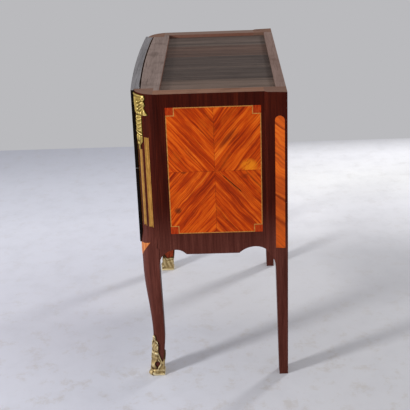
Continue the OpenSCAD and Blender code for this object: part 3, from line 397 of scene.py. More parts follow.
# Marks of the side leaves, each with its middle and its reach in mm. The dark streaks are placed
# across and along the grain, and the others from the middle of the field.
DARK_STREAKS = ((31.0, 90.0), (9.0, 42.0)), ((17.0, 97.0), (4.5, 30.0))
DARK_PATCHES = ((86.0, -16.0), (30.0, 9.0)), ((66.0, -96.0), (12.0, 14.0))
KNOTS = ((-101.0, -109.0), (12.0, 11.0)), ((-82.0, -2.0), (9.0, 4.5))
BRIGHT_PATCH = (90.0, 12.0), (27.0, 24.0)
CRACK_BACK, CRACK_DOWN = 45.0, 36.0

# Heights on the strips of the rear posts: where their bands deepen, two dark bands and the dusk
BANDS_HIGH, BANDS_LOW = 650.0, 560.0
LOWER_BAND, UPPER_BAND = 540.0, 694.0
DUSK_Z = 530.0


def patch(f, across, up, middle, reach):
    """Soft oval patch, 1 in its middle."""
    a = (across - middle[0]) / reach[0]
    b = (up - middle[1]) / reach[1]
    return f.step(a * a + b * b, 1.0, 0.0)


def flitch(f, across, along, leaf):
    """Streaks of one leaf of tulipwood: rose and straw bands with thin dark lines."""
    wave = f.noise(f.joined(along * 0.011, across * 0.02, leaf * 3.1))
    bent = across + (wave - 0.5) * 13.0
    broad = f.noise(f.joined(bent * 0.085, along * 0.004, leaf * 0.35),
                    detail=3.0, roughness=0.6, bend=0.5)
    mid = f.noise(f.joined(bent * 0.3, along * 0.008, leaf * 0.9 + 4.0),
                  detail=3.0, roughness=0.65, bend=0.7)
    fine = f.noise(f.joined(bent * 1.3, along * 0.03, leaf * 2.0 + 9.0), roughness=0.6)
    tone = (broad * 0.5 + mid * 0.34 + fine * 0.16 - 0.5) * 1.18 + 0.5
    color = f.ramp(tone, (0.3, card(84, 18, 2)), (0.4, card(140, 38, 4)), (0.49, card(188, 61, 4)),
                   (0.58, card(222, 94, 16)), (0.7, card(240, 130, 38)))
    lines = f.noise(f.joined(bent * 0.5, along * 0.005, leaf + 17.0), detail=1.0)
    color = f.mix(f.step(lines, 0.62, 0.7) * 0.7, color, card(92, 24, 6))
    return color, fine


def close_veneer(f, color, fine):
    return f.polish(color, 0.3 + fine * 0.12, fine, 0.00012, Specular_IOR_Level=0.08)


def side_figure(f, color, p, q, over, along):
    """Marks of the side leaves: clouds, dark and bright patches, two knots and a crack."""
    curl = f.noise(f.joined(over * 0.13, along * 0.04, 5.0), detail=4.0, bend=1.6)
    mottle = f.step(f.noise(f.place, (0.05, 0.05, 0.05), 3.0), 0.3, 0.6)
    cloud = f.noise(f.place, (0.02, 0.02, 0.02), 3.0)
    color = f.mix(f.step(cloud, 0.5, 0.68) * 0.3, color, card(214, 98, 16))
    color = f.mix(f.step(cloud, 0.48, 0.34) * 0.3, color, card(150, 46, 10))
    dark = patch(f, over, along, *DARK_STREAKS[0]) * 0.75
    dark = dark | patch(f, over, along, *DARK_STREAKS[1]) * 0.6
    dark = dark * (p > 0.0) * (q > 0.0) * f.step(curl, 0.2, 0.42)
    dark = dark | patch(f, p, q, *DARK_PATCHES[0]) * mottle * 0.6
    dark = dark | patch(f, p, q, *DARK_PATCHES[1]) * mottle * 0.5
    knots = patch(f, p, q, *KNOTS[0]) | patch(f, p, q, *KNOTS[1]) * 0.8
    crack = f.step(abs((p - CRACK_BACK) * 0.7 + (q + CRACK_DOWN) * 0.72), 2.1, 0.7)
    crack = crack * f.step(abs(p - CRACK_BACK), 27.0, 20.0)
    bright = patch(f, p, q, *BRIGHT_PATCH) * (q > 1.0) * f.step(curl, 0.25, 0.5)
    color = f.mix(dark, color, card(118, 36, 8))
    color = f.mix(knots * 0.75, color, card(84, 34, 12))
    color = f.mix(crack * 0.9, color, card(36, 10, 5))
    return f.mix(bright * 0.85, color, card(240, 138, 24))


def quartered(f, across, up, middle, side=False):
    """Four leaves whose streaks run in towards the middle of the field."""
    p = across - middle[0]
    q = up - middle[1]
    slope = math.radians(SIDE_SLOPE if side else DRAWER_SLOPE)
    leaf = (p > 0.0) + (q > 0.0) * 2.0
    over = abs(q) * math.cos(slope) - abs(p) * math.sin(slope)
    along = abs(q) * math.sin(slope) + abs(p) * math.cos(slope)
    color, fine = flitch(f, over, along, leaf * 0.4)
    if side:
        color = side_figure(f, color, p, q, over, along)
    joints = f.step(abs(p) & abs(q), 0.7, 0.1)
    color = f.mix(joints * 0.7, color, card(90, 30, 10))
    return color, fine


def side_tulipwood():
    f = Finish("tulipwood of the sides")
    y, z = f.parts(f.place)[1:]
    color, fine = quartered(f, y, z, SIDE_MIDDLE, side=True)
    return close_veneer(f, color, fine)


def drawer_tulipwood():
    """Leaves of both drawer fronts, redder in the corner squares."""
    f = Finish("tulipwood of the drawers")
    x, _, z = f.parts(f.place)
    upper, fine = quartered(f, x, z, UPPER_MIDDLE)
    lower = quartered(f, x, z, LOWER_MIDDLE)[0]
    color = f.mix(z > SEAM_Z, lower, upper)
    middle = f.step(z, SEAM_Z - 0.1, SEAM_Z + 0.1, LOWER_MIDDLE[1], UPPER_MIDDLE[1])
    square = abs(x) - (DRAWER_FIELD_W / 2 - CORNER_SQ) > 0.0
    square = square * (abs(z - middle) > DRAWER_FIELD_H / 2 - CORNER_SQ)
    color = f.mix(square, color, f.mix(0.75, color, card(172, 54, 14)))
    color = f.mix(0.22, color, card(128, 66, 34))
    return close_veneer(f, color, fine)


def corner_padauk():
    f = Finish("red corner squares")
    flame = f.noise(f.place, (0.2, 0.35, 0.08), 4.0, 0.65)
    color = f.ramp(flame, (0.3, card(140, 36, 6)), (0.5, card(170, 52, 10)),
                   (0.7, card(194, 76, 24)))
    return close_veneer(f, color, flame)


def strip_tulipwood():
    """Upright strips of the rear posts, their streaks falling from left to right."""
    f = Finish("tulipwood of the rear strips")
    y, z = f.parts(f.place)[1:]
    wander = f.noise(f.place, (0.02, 0.02, 0.02), 2.0)
    over = z * 0.77 + y * 0.64 + (wander - 0.5) * 26.0
    color, fine = flitch(f, over * 0.8, z * 0.6 - y * 0.7, 5.0)
    color = f.mix(0.35, color, card(226, 116, 42))
    bands = f.step(f.noise(f.joined(over * 0.05, 0.0, 3.0), detail=3.0), 0.54, 0.62)
    bands = bands * f.step(z, BANDS_HIGH, BANDS_LOW, 0.25, 0.6)
    bands = bands | f.step(abs(over - LOWER_BAND), 5.0, 1.0) * 0.8
    bands = bands | f.step(abs(over - UPPER_BAND), 2.4, 0.6) * 0.6
    dusk = f.step(abs(z - DUSK_Z), 90.0, 40.0)
    color = f.mix(dusk * 0.35, color, card(146, 56, 22))
    color = f.mix(bands, color, card(108, 32, 8))
    return close_veneer(f, color, fine)


def boxwood():
    f = Finish("light stringing")
    fine = f.noise(f.place, (0.5, 0.5, 0.12), 3.0)
    color = f.ramp(fine, (0.3, card(152, 94, 38)), (0.5, card(186, 123, 58)),
                   (0.7, card(210, 152, 82)))
    return close_veneer(f, color, fine)


# Brass, gilt and iron


def gilt(name, hollow, body, crest, relief=True):
    """Gilt casting: tarnish in the hollows, rubbed bright on the crests; on the feet the lift also
    carries a painted highlight and painted shade.
    """
    f = Finish(name)
    patina = f.noise(f.place, (0.14, 0.14, 0.14), 4.0, 0.6)
    grit = f.noise(f.place, (1.1, 1.1, 1.1), 3.0, 0.6)
    if relief:
        lift = f.read("lift") + (patina - 0.5) * 0.22
    else:
        lift = 0.42 + (patina - 0.5) * 0.7
    color = f.ramp(lift, (0.16, hollow), (0.46, body), (0.82, crest))
    color = f.mix(f.step(patina, 0.58, 0.78) * 0.3, color, hollow)
    rough = 0.64 - f.step(lift, 0.3, 0.8, 0.0, 0.2) + grit * 0.1
    return f.polish(color, rough, grit, 0.00012, 0.93)


def polished_brass():
    """Flutes: rubbed bright along their length, dull where the cloth doesn't reach."""
    f = Finish("polished brass")
    rubbing = f.noise(f.place, (1.2, 1.2, 0.03), 3.0, 0.6)
    spots = f.noise(f.place, (0.12, 0.12, 0.05), 4.0, 0.6)
    color = f.ramp(spots * 0.6 + rubbing * 0.4, (0.32, card(150, 100, 44)),
                   (0.52, card(190, 140, 66)), (0.7, card(218, 168, 90)))
    rough = 0.26 + rubbing * 0.16 + f.step(spots, 0.55, 0.75) * 0.12
    return f.polish(color, rough, rubbing, 0.00006, 0.95)


def iron():
    f = Finish("lock iron")
    scale = f.noise(f.place, (0.35, 0.35, 0.35), 4.0, 0.65)
    rust = f.step(f.noise(f.place, (0.11, 0.11, 0.11), 4.0), 0.5, 0.68)
    color = f.ramp(scale, (0.3, card(52, 50, 48)), (0.7, card(102, 98, 94)))
    color = f.mix(rust * 0.6, color, card(96, 58, 36))
    return f.polish(color, 0.48 + rust * 0.25, scale, 0.0003, 0.8 - rust * 0.6)


def lock_brass():
    f = Finish("lock brass")
    filed = f.noise(f.place, (0.2, 2.5, 2.5), 2.0)
    dull = f.noise(f.place, (0.2, 0.2, 0.2), 3.0)
    color = f.ramp(dull * 0.6 + filed * 0.4, (0.3, card(156, 116, 58)),
                   (0.7, card(222, 178, 104)))
    return f.polish(color, 0.34 + filed * 0.18, filed, 0.0001, 0.92)


FINISHES = {
    "post_amaranth": amaranth("amaranth of the front posts", POST_IN, leg=True),
    "rear_post_amaranth": amaranth("amaranth of the rear posts", RAIL_IN),
    "panel_amaranth": amaranth("amaranth of the sides", PANEL_IN),
    "apron_amaranth": amaranth("amaranth of the apron"),
    "drawer_amaranth": amaranth("amaranth of the drawers", front_face=True),
    "side_tulipwood": side_tulipwood(),
    "drawer_tulipwood": drawer_tulipwood(),
    "strip_tulipwood": strip_tulipwood(),
    "corner_padauk": corner_padauk(),
    "boxwood": boxwood(),
    "frame_oak": frame_oak(),
    "board_oak": oak("boards of the top", "y",
                     card(62, 50, 44), card(108, 92, 84), card(40, 31, 27), boards=True),
    "back_oak": oak("oak of the back", "z",
                    card(70, 48, 34), card(112, 82, 58), card(44, 30, 22)),
    "inner_oak": oak("oak of the inner frame", "x",
                     card(88, 64, 45), card(136, 104, 76), card(60, 42, 30)),
    "drawer_oak": oak("oak of the drawers", "y",
                      card(122, 90, 60), card(172, 136, 96), card(96, 68, 44)),
    "polished_brass": polished_brass(),
    "gilt_corner": gilt("gilt of the corner mounts",
                        card(72, 60, 15), card(166, 141, 73), card(230, 206, 130)),
    "gilt_foot": gilt("gilt of the feet",
                      card(80, 58, 36), card(186, 162, 113), card(252, 238, 194)),
    "gilt_pull": gilt("gilt of the pulls",
                      card(120, 92, 34), card(206, 166, 96), card(246, 214, 140), relief=False),
    "lock_iron": iron(),
    "lock_brass": lock_brass(),
}

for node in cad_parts.values():
    for place in node.material_slots:
        place.material = FINISHES[place.material.name.split(".")[0]]


# Cast mounts

# Lift of the hidden back of a casting, which the finish reads as a hollow
BACK_LIFT = 0.2


def ease(t):
    t = np.clip(t, 0.0, 1.0)
    return t * t * (3.0 - 2.0 * t)


def hump(x, width):
    return np.exp(-((x / width) ** 2))


def blurred(field, reach):
    """Mean of a field over a square window."""
    wide = np.pad(field, reach, mode="edge")
    total = np.zeros_like(field)
    rows, columns = field.shape
    for i in range(0, 2 * reach + 1):
        for j in range(0, 2 * reach + 1):
            total += wide[i:i + rows, j:j + columns]
    return total / (2 * reach + 1) ** 2


def lift_of(height, reach):
    """How far each point stands above its surroundings, from 0 to 1."""
    return np.clip(0.45 + (height - blurred(height, reach)) * 0.34, 0.0, 1.0)


def boss(s, d, middle, radius, rise):
    """Rounded boss on a casting, at a place across and down."""
    rho = ((s - middle[0]) / radius[0]) ** 2 + ((d - middle[1]) / radius[1]) ** 2
    return rise * np.sqrt(np.clip(1.0 - rho, 0.0, 1.0))


def with_bosses(height, s, d, bosses):
    for middle, radius, rise in bosses:
        height = height + boss(s, d, middle, radius, rise)
    return height


def casting(name, outer, inner, lift, slot, body, hole=None, closed=False, hub=None):
    """Hollow casting between two grids of points, with walls round its edge and its holes.

    A closed one joins its last column to its first, and a hub closes its first row to a sole.
    """
    rows, columns = lift.shape
    count = rows * columns
    points = [*outer.reshape(-1, 3), *inner.reshape(-1, 3)]
    values = [*lift.reshape(-1), *np.full(count, BACK_LIFT)]
    solid = np.ones((rows - 1, columns if closed else columns - 1), bool)
    if hole is not None:
        solid &= ~hole[:rows - 1, :solid.shape[1]]
    faces = []
    for i in range(rows - 1):
        for j in range(solid.shape[1]):
            if not solid[i, j]:
                continue
            k = (j + 1) % columns
            a, b = i * columns + j, i * columns + k
            c, d = (i + 1) * columns + k, (i + 1) * columns + j
            faces.append((a, b, c, d))
            faces.append((d + count, c + count, b + count, a + count))
            left = solid[i, j - 1] if closed or j > 0 else False
            right = solid[i, (j + 1) % columns] if closed or j + 1 < solid.shape[1] else False
            above = solid[i - 1, j] if i > 0 else hub is not None
            below = solid[i + 1, j] if i + 1 < rows - 1 else False
            if not above:
                faces.append((b, a, a + count, b + count))
            if not below:
                faces.append((d, c, c + count, d + count))
            if not left:
                faces.append((a, d, d + count, a + count))
            if not right:
                faces.append((c, b, b + count, c + count))
    if hub is not None:
        for start, centre in ((0, hub[0]), (count, hub[1])):
            points.append(centre)
            values.append(BACK_LIFT)
            last = len(points) - 1
            for j in range(columns):
                k = (j + 1) % columns
                first, second = (j, k) if start else (k, j)
                faces.append((last, start + first, start + second))
    return solid_piece(name, points, faces, values, slot, body)


def solid_piece(name, points, faces, values, slot, body):
    """Smooth mesh of the points that the faces use, given in mm, with their lift."""
    used = sorted({v for face in faces for v in face})
    renumber = {old: new for new, old in enumerate(used)}
    mesh = bpy.data.meshes.new(name)
    mesh.from_pydata([tuple(float(c) * MM for c in points[v]) for v in used], [],
                     [tuple(renumber[v] for v in face) for face in faces])
    mesh.attributes.new("lift", "FLOAT", "POINT").data.foreach_set(
        "value", np.array([values[v] for v in used], np.float32))
    mesh.polygons.foreach_set("use_smooth", np.ones(len(mesh.polygons), bool))
    mesh.materials.append(FINISHES[slot])
    piece = bpy.data.objects.new(name, mesh)
    scene.collection.objects.link(piece)
    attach(piece, body)
    return piece


# Corner mounts

# A corner mount is laid round the post: t runs down it from 0 to 1, u across it from -1 at the
# side of the chest to 1 at its front. Its relief is drawn 148 long: s across and d down, in mm.
FLUTE_ANGLE = 54.5
MOUNT_TOP = 826.0
MOUNT_H = 148.0
MOUNT_HEAD = 0.35
MOUNT_ROWS, MOUNT_COLUMNS = 236, 84
MOUNT_GAP = 0.1
HEAD_SIDE_W = 22.0
HEAD_FRONT_W, HEAD_FRONT_LOSS = 24.0, 12.5
DROP_W, TIP_W = 12.5, 3.0
LEVEL_AT = (0.0, MOUNT_HEAD, 0.69, 0.88, 1.0)
LEVEL_D = (0.0, 59.2, 107.0, 134.0, 148.0)
TIE_D = 107.0

# Scrolls as middle and radius, bosses as middle, radius across and down, and rise
HEAD_SCROLLS = (((-20.5, 9.0), 7.0), ((-19.5, 23.5), 6.4))
HEAD_BOSSES = (
    ((-12.0, 55.5), (3.2, 4.4), 1.7), ((-5.5, 55.5), (3.2, 4.4), 1.7),
    ((1.0, 55.5), (3.2, 4.4), 1.7), ((-2.0, 21.0), (2.7, 2.7), 3.0),
    ((-3.0, 32.0), (3.0, 3.0), 3.0), ((-2.6, 43.0), (3.4, 3.4), 3.0),
)
DROP_BOSSES = (
    ((-4.4, 119.0), (4.4, 9.0), 2.4), ((4.0, 119.0), (4.4, 9.0), 2.4),
    ((0.0, 134.0), (4.6, 4.4), 2.4),
)


def drop_half_width(t):
    """Half width of the drop under the head, down to its tip."""
    return DROP_W + (TIP_W - DROP_W) * ease((t - 0.84) / 0.1)


def side_half_width(t):
    """Half width towards the side: two lobes and a wing on the head, then the drop."""
    lobes = 5.5 * hump(t - 0.045, 0.05) + 4.5 * hump(t - 0.165, 0.04)
    lobes = lobes + 10.0 * np.clip((t - 0.24) / (MOUNT_HEAD - 0.25), 0.0, 1.0)
    share = ease((t - MOUNT_HEAD) / 0.02)
    return (HEAD_SIDE_W + lobes) * (1.0 - share) + drop_half_width(t) * share


def front_half_width(t):
    """Half width towards the drawers: a straight edge on the head, then the drop."""
    straight = HEAD_FRONT_W - HEAD_FRONT_LOSS * np.minimum(t / MOUNT_HEAD, 1.0)
    return np.minimum(straight, drop_half_width(t) * np.where(t < MOUNT_HEAD, 2.0, 1.0))


def scroll(s, d, middle, radius):
    """Volute: a spiral ridge that winds into its eye."""
    a, b = s - middle[0], d - middle[1]
    rho = np.hypot(a, b)
    ridge = 0.5 + 0.5 * np.cos(2 * math.pi * rho / (radius * 0.72) - np.arctan2(b, -a))
    return np.exp(-((rho / radius) ** 4)) * (0.9 + 1.9 * ridge) + 1.2 * hump(rho, radius * 0.24)


def mount_head(s, d, rim):
    """Relief of the head: a long leaf beside the drawers, pearls, and scrolls towards the side."""
    height = 1.4 + 1.8 * ease(rim / 3.0) + 1.3 * hump(d - 2.6, 2.2) * ease(rim / 2.0)
    leaf = hump(s - 11.0, 7.5) * ease((d - 6.0) / 8.0) * ease((62.0 - d) / 10.0)
    height = height + leaf * (1.5 + 0.45 * np.cos(2 * math.pi * (s * 0.24 + d * 0.013)))
    for middle, radius in HEAD_SCROLLS:
        height = height + scroll(s, d, middle, radius)
    veins = 0.8 * np.cos(2 * math.pi * (d * 0.115 - s * 0.09))
    height = height + veins * hump(s + 10.5, 5.0) * ease((d - 12.0) / 8.0) * ease((54.0 - d) / 8.0)
    wing = ease((-s - 19.0) / 4.0) * ease((d - 36.0) / 8.0)
    height = height + wing * (0.6 + 0.9 * hump(s + 24.0 - (d - 50.0) * 0.3, 3.0))
    groove = 1.5 * hump(s - 2.0, 1.2) * ease((d - 34.0) / 4.0) * ease((54.0 - d) / 4.0)
    return with_bosses(height - groove, s, d, HEAD_BOSSES)


def mount_drop(s, d, u):
    """Relief of the drop: hanging leaves, a slanting tie, a bud of two petals and a berry."""
    height = 1.5 + 2.6 * np.sqrt(np.clip(1.0 - u * u, 0.0, 1.0))
    tier = (d - 66.0) / 9.8 + np.abs(s + 1.5) * 0.045
    shingle = tier - np.floor(tier)
    leaves = ease((d - 67.0) / 4.0) * ease((105.0 - d) / 4.0)
    height = height + leaves * (1.25 * shingle ** 1.6 + 0.35 * np.cos(2 * math.pi * s * 0.2))
    tie = d - TIE_D + 0.3 * s
    height = height + 1.9 * hump(tie, 1.7) - 1.3 * hump(tie - 3.4, 1.1) - 1.2 * hump(tie + 3.3, 1.1)
    height = height + boss(s, d, (2.2, 66.0), (3.0, 3.0), 2.2) - 1.4 * hump(d - 61.5, 1.3)
    height = with_bosses(height, s, d, DROP_BOSSES)
    return height + 0.9 * hump(s, 1.4) * ease((d - 138.0) / 3.0)


def corner_mount(side, name):
    t = np.linspace(0.0, 1.0, MOUNT_ROWS)[:, None]
    u = np.linspace(-1.0, 1.0, MOUNT_COLUMNS)[None, :]
    half = np.where(u > 0.0, front_half_width(t), side_half_width(t))
    s = half * u
    d = np.interp(t, LEVEL_AT, LEVEL_D) + 0.0 * u
    share = ease((t - MOUNT_HEAD) / 0.03)
    head = mount_head(s, d, half * (1.0 - np.abs(u)))
    height = head * (1.0 - share) + mount_drop(s, d, u) * share
    angle = np.radians(FLUTE_ANGLE) + s / POST_R
    z = MOUNT_TOP - (MOUNT_H * t + 0.0 * u)

    def laid(radius):
        x, y = CORNER_X + radius * np.cos(angle), CORNER_Y - radius * np.sin(angle)
        return np.stack([x, y, z], axis=-1) * np.array([side, 1.0, 1.0])

    outer, inner = laid(POST_R + height), laid(np.full_like(height, POST_R + MOUNT_GAP))
    if side < 0:
        outer, inner, height = outer[:, ::-1], inner[:, ::-1], height[:, ::-1]
    piece = casting(name, outer, inner, lift_of(height, 6), "gilt_corner", "case")
    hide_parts(name.replace("cast_", ""))


# Feet

# Columns of a foot mount, in the order in which they run round the leg
FOOT_COLUMNS = {"side": 26, "arris": 64, "front": 26, "inner": 20, "back": 20}
FOOT_ROWS = 104
FOOT_GAP = 0.12
SOLE = 6.0
ARRIS_HALF = 14.1
FLAT_REACH = 15.0

# Upper edge of a foot mount: its height at each distance from the front arris, where 1 is the
# end of the rounding, 2 the next corner, and 3 the inner back corner
RIM_AT = (0.0, 0.24, 0.28, 0.33, 0.55, 0.7, 0.78, 0.84, 0.95,
          1.15, 1.35, 1.55, 1.8, 1.9, 2.0, 2.1, 2.4, 3.0)
RIM_Z = (125.0, 122.0, 112.0, 109.0, 107.0, 103.0, 95.0, 76.0, 69.0,
         61.0, 53.0, 46.0, 42.0, 56.0, 81.0, 62.0, 47.0, 52.0)

# Heights of the ornament of a foot mount, and the place and size of its piercing
BASE_Z, TOE_Z, BASE_BEAD_Z, INSTEP_Z = 3.0, 7.0, 16.0, 31.0
HOLLOW_Z, SCROLL_Z, GROOVE_Z = 58.5, 67.0, 73.5
FOOT_BOSSES = (
    ((9.6, 100.0), (3.4, 6.0), 1.6), ((9.6, 86.0), (3.4, 6.0), 1.6), ((4.6, 93.0), (2.6, 5.0), 1.0),
)
PIERCING_AT = 12.5
PIERCING_HALF = 7.0
PIERCING_LOW, PIERCING_HIGH = 20.0, 46.0


def leg_curve(z):
    return ease((LEG_TOP - z) / (LEG_TOP - ANKLE_Z))


def foot_curve(z):
    return ease((ANKLE_Z - z) / ANKLE_Z)


def leg_side(z):
    """Where the outer side of a leg runs."""
    return HALF_W - LEG_SIDE_IN * leg_curve(z) + FOOT_SIDE_OUT * foot_curve(z)


def leg_front(z):
    """Where the front of a leg runs."""
    return KNEE_Y + LEG_FRONT_IN * leg_curve(z) - FOOT_FRONT_OUT * foot_curve(z)


def foot_stations():
    """Where each column of a foot mount runs: its part of the ring, and its share of that part."""
    return [(part, (i + 0.5) / n if part == "arris" else i / n)
            for part, n in FOOT_COLUMNS.items() for i in range(n)]


def foot_ring(part, share, z, grown):
    """Points round a leg at heights z, pushed out by grown."""
    x1 = leg_side(z) + grown
    y0 = leg_front(z) - grown
    radius = POST_R + (ARRIS_R - POST_R) * leg_curve(z) + grown
    x0 = x1 - LEG_W + LEG_W_LOSS * leg_curve(z) - 2 * grown
    y1 = y0 + LEG_D - LEG_D_LOSS * leg_curve(z) + 2 * grown
    if part == "side":
        return x1, y1 + (y0 + radius - y1) * share
    if part == "arris":
        a = math.pi / 2 * share
        return x1 - radius + radius * math.cos(a), y0 + radius - radius * math.sin(a)
    if part == "front":
        return x1 - radius + (x0 - x1 + radius) * share, y0 + 0 * z
    if part == "inner":
        return x0 + 0 * z, y0 + (y1 - y0) * share
    return x0 + (x1 - x0) * share, y1 + 0 * z


def foot_distance(part, share):
    """0 on the front arris, 1 where its rounding ends, 2 on the next corner, up to 3 behind."""
    if part == "side":
        return 2.0 - share
    if part == "arris":
        return abs(share - 0.5) * 2.0
    if part == "front":
        return 1.0 + share
    if part == "inner":
        return 2.0 + share
    return 3.0 - share


def foot_relief(q, z, below_rim, off_arris):
    """How far a foot mount stands off its leg, piercing apart: rim, scroll, toe and leaf."""
    front = ease(1.0 - 0.75 * q) * (q < 2.0)
    slim = ease((z - 40.0) / 12.0) * ease((112.0 - z) / 14.0) * (q < 1.0)
    low = ease((q - 0.78) / 0.08)
    grown = 2.2 - 0.9 * slim + 1.6 * hump(below_rim - 3.0 - 1.2 * low, 2.4 + 1.4 * low)
    grown = grown - (1.1 + 0.6 * low) * hump(below_rim - 7.5 - 4.0 * low, 2.4 + 0.6 * low)
    ridge = 1.3 * hump(z - SCROLL_Z, 2.6) - 1.3 * hump(z - GROOVE_Z, 1.8)
    grown = grown + ridge * (q < 0.84) * ease(q / 0.3)
    hollow = 1.2 * hump(z - HOLLOW_Z, 3.2) * ease((q - 0.25) / 0.2) * ease((1.15 - q) / 0.2)
    grown = grown - hollow
    grown = grown + 10.0 * front * hump(z - TOE_Z, 7.5) + 3.4 * front * hump(z - INSTEP_Z, 9.0)
    grown = grown + 2.4 * hump(z - BASE_Z, 3.2) * (1.0 - front)
    grown = grown + 1.3 * hump(z - BASE_BEAD_Z, 3.0) * (q < 2.2)
    grown = grown + 0.9 * hump(q, 0.16) * ease((z - 44.0) / 12.0)
    grown = grown + 3.6 * hump(q, 0.3) * ease((z - 104.0) / 14.0)
    grown = with_bosses(grown, off_arris, z, FOOT_BOSSES)
    veins = np.abs(np.sin(math.pi * (q * 4.5 + z * 0.055)))
    return grown + veins * ease((z - 46.0) / 10.0) * (q < 1.0) * (1.0 - hump(q, 0.2))


def foot_piercing(q, z, off_arris):
    """Opening in the side of a foot.

    Gives what lies inside it, how far each point is from its edge, and which side of it.
    """
    band = off_arris - PIERCING_AT
    rise = np.clip((z - PIERCING_LOW) / (PIERCING_HIGH - PIERCING_LOW), 0.0, 1.0)
    reach = PIERCING_HALF * np.sin(math.pi * rise ** 1.6)
    inside = (np.abs(band) < reach) & (z > PIERCING_LOW + 0.5) & (z < PIERCING_HIGH) & (q < 1.8)
    near = (z > PIERCING_LOW - 3.0) & (z < PIERCING_HIGH + 3.0)
    return inside, np.where(near, np.abs(band) - reach, 9.0), band


def foot_skin(stations, z, grown):
    """Grid of points round a leg at heights z, pushed out by grown, a column for each station."""
    columns = []
    for j, (part, share) in enumerate(stations):
        x, y = foot_ring(part, share, z[:, j], grown[:, j])
        columns.append(np.stack([x, y, z[:, j]], axis=-1))
    return np.stack(columns, axis=1)


def foot_mount(side, name):
    stations = foot_stations()
    distance = np.array([foot_distance(part, share) for part, share in stations])
    rim = np.interp(distance, RIM_AT, RIM_Z)
    up = np.linspace(0.0, 1.0, FOOT_ROWS)[:, None]
    z = rim * up ** 1.1
    q = np.broadcast_to(distance, z.shape)
    off_arris = ARRIS_HALF * np.minimum(q, 1.0) + FLAT_REACH * np.clip(q - 1.0, 0.0, 1.0)
    inside, edge, band = foot_piercing(q, z, off_arris)
    grown = foot_relief(q, z, rim - z, off_arris)
    grown = grown + hump(edge - 1.6, 1.5) * (q < 1.9) * np.where(band > 0.0, 1.4, 0.4)
    ribs = 0.6 * np.sin(math.pi * (q * 2.6 + z * 0.03)) ** 2
    grown = np.maximum(grown + ribs * (q > 2.05) * ease((z - 8.0) / 6.0), 1.2)

    inner_z = np.maximum(z, SOLE * (1.0 - up ** 0.5) + z * up ** 0.5)
    outer = foot_skin(stations, z, grown)
    inner = foot_skin(stations, inner_z, np.full_like(z, FOOT_GAP))
    # Painted highlight: the lift is raised along the lowest lip of the foot
    lift = lift_of(grown, 5) + 0.25 * hump(z - 2.0, 3.0)
    # Painted shade: the lift is lowered on the leaf at the rear corner of the foot and behind it
    lift = lift - 0.5 * ease((q - 1.82) / 0.1) * ease((z - 44.0) / 10.0)
    lift = lift - 0.3 * hump(edge, 3.0) * (band < 2.0) * (q > 0.3) * (z > PIERCING_LOW)
    lift = np.clip(lift, 0.0, 1.0)

    flip = np.array([side, 1.0, 1.0])
    hubs = [outer[0].mean(axis=0) * flip, inner[0].mean(axis=0) * flip]
    outer, inner = outer * flip, inner * flip
    if side > 0:
        outer, inner, lift, inside = (grid[:, ::-1] for grid in (outer, inner, lift, inside))
    hole = inside & np.roll(inside, -1, axis=1)
    hole[:-1] &= inside[1:]
    piece = casting(name, outer, inner, lift, "gilt_foot", "case", hole=hole, closed=True, hub=hubs)
    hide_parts(name.replace("cast_", ""))
    toe_scroll(side, name.replace("cast_foot_mount", "toe_scroll"))


# Volute at the toe: its turns, the height of its eye, and how far the eye stands off the arris
TOE_TURNS = 1.55
TOE_EYE_Z = 8.8
TOE_EYE_OUT = 5.4
TOE_ARRIS_Z = 10.0
TOE_RINGS, TOE_SIDES = 74, 20
TOE_END_LIFT = 0.4


def squarish(v):
    """Sine or cosine of a flat bar's section, squarer than a round one's."""
    return math.copysign(abs(v) ** 0.7, v)


def toe_scroll(side, name):
    """Volute at the toe: a flat bar wound up against the front arris."""
    turns = np.linspace(0.0, 1.0, TOE_RINGS)
    angle = -0.5 * math.pi + 2 * math.pi * TOE_TURNS * turns
    radius = 7.4 - 5.4 * turns
    thick = 1.5 - 0.6 * turns
    broad = 7.5 - 2.6 * turns
    diagonal = math.sqrt(0.5)
    arris = np.array([leg_side(TOE_ARRIS_Z), leg_front(TOE_ARRIS_Z)])
    arris = arris + ARRIS_R * (1 - diagonal) * np.array([-1.0, 1.0])
    out = np.array([1.0, -1.0]) * diagonal
    along = np.array([1.0, 1.0]) * diagonal
    section = np.linspace(0.0, 2 * math.pi, TOE_SIDES, endpoint=False)
    grid = np.zeros((TOE_RINGS, TOE_SIDES, 3))
    for i, (a, r, h, w) in enumerate(zip(angle, radius, thick, broad)):
        for j, b in enumerate(section):
            reach = r + h * squarish(math.cos(b))
            level = TOE_EYE_Z + reach * math.sin(a)
            forth = TOE_EYE_OUT + reach * math.cos(a)
            flat = arris + out * forth + along * (w * squarish(math.sin(b)))
            grid[i, j] = (flat[0] * side, flat[1], max(level, 0.15))
    points = list(grid.reshape(-1, 3))
    faces = []
    for i in range(TOE_RINGS - 1):
        for j in range(TOE_SIDES):
            k = (j + 1) % TOE_SIDES
            quad = (i * TOE_SIDES + j, i * TOE_SIDES + k,
                    (i + 1) * TOE_SIDES + k, (i + 1) * TOE_SIDES + j)
            faces.append(quad if side > 0 else quad[::-1])
    for end in (0, TOE_RINGS - 1):
        points.append(grid[end].mean(axis=0))
        turned = (end == 0) == (side > 0)
        for j in range(TOE_SIDES):
            k = (j + 1) % TOE_SIDES
            cap = (len(points) - 1, end * TOE_SIDES + j, end * TOE_SIDES + k)
            faces.append(cap[::-1] if turned else cap)
    around = [0.2 + 0.36 * abs(math.cos(b)) ** 2 for b in section]
    values = around * TOE_RINGS + [TOE_END_LIFT, TOE_END_LIFT]
    solid_piece(name, points, faces, values, "gilt_foot", "case")


for side, word in ((1, "right"), (-1, "left")):
    corner_mount(side, "cast_corner_mount_" + word)
    foot_mount(side, "cast_foot_mount_" + word)


# Floor, light and camera

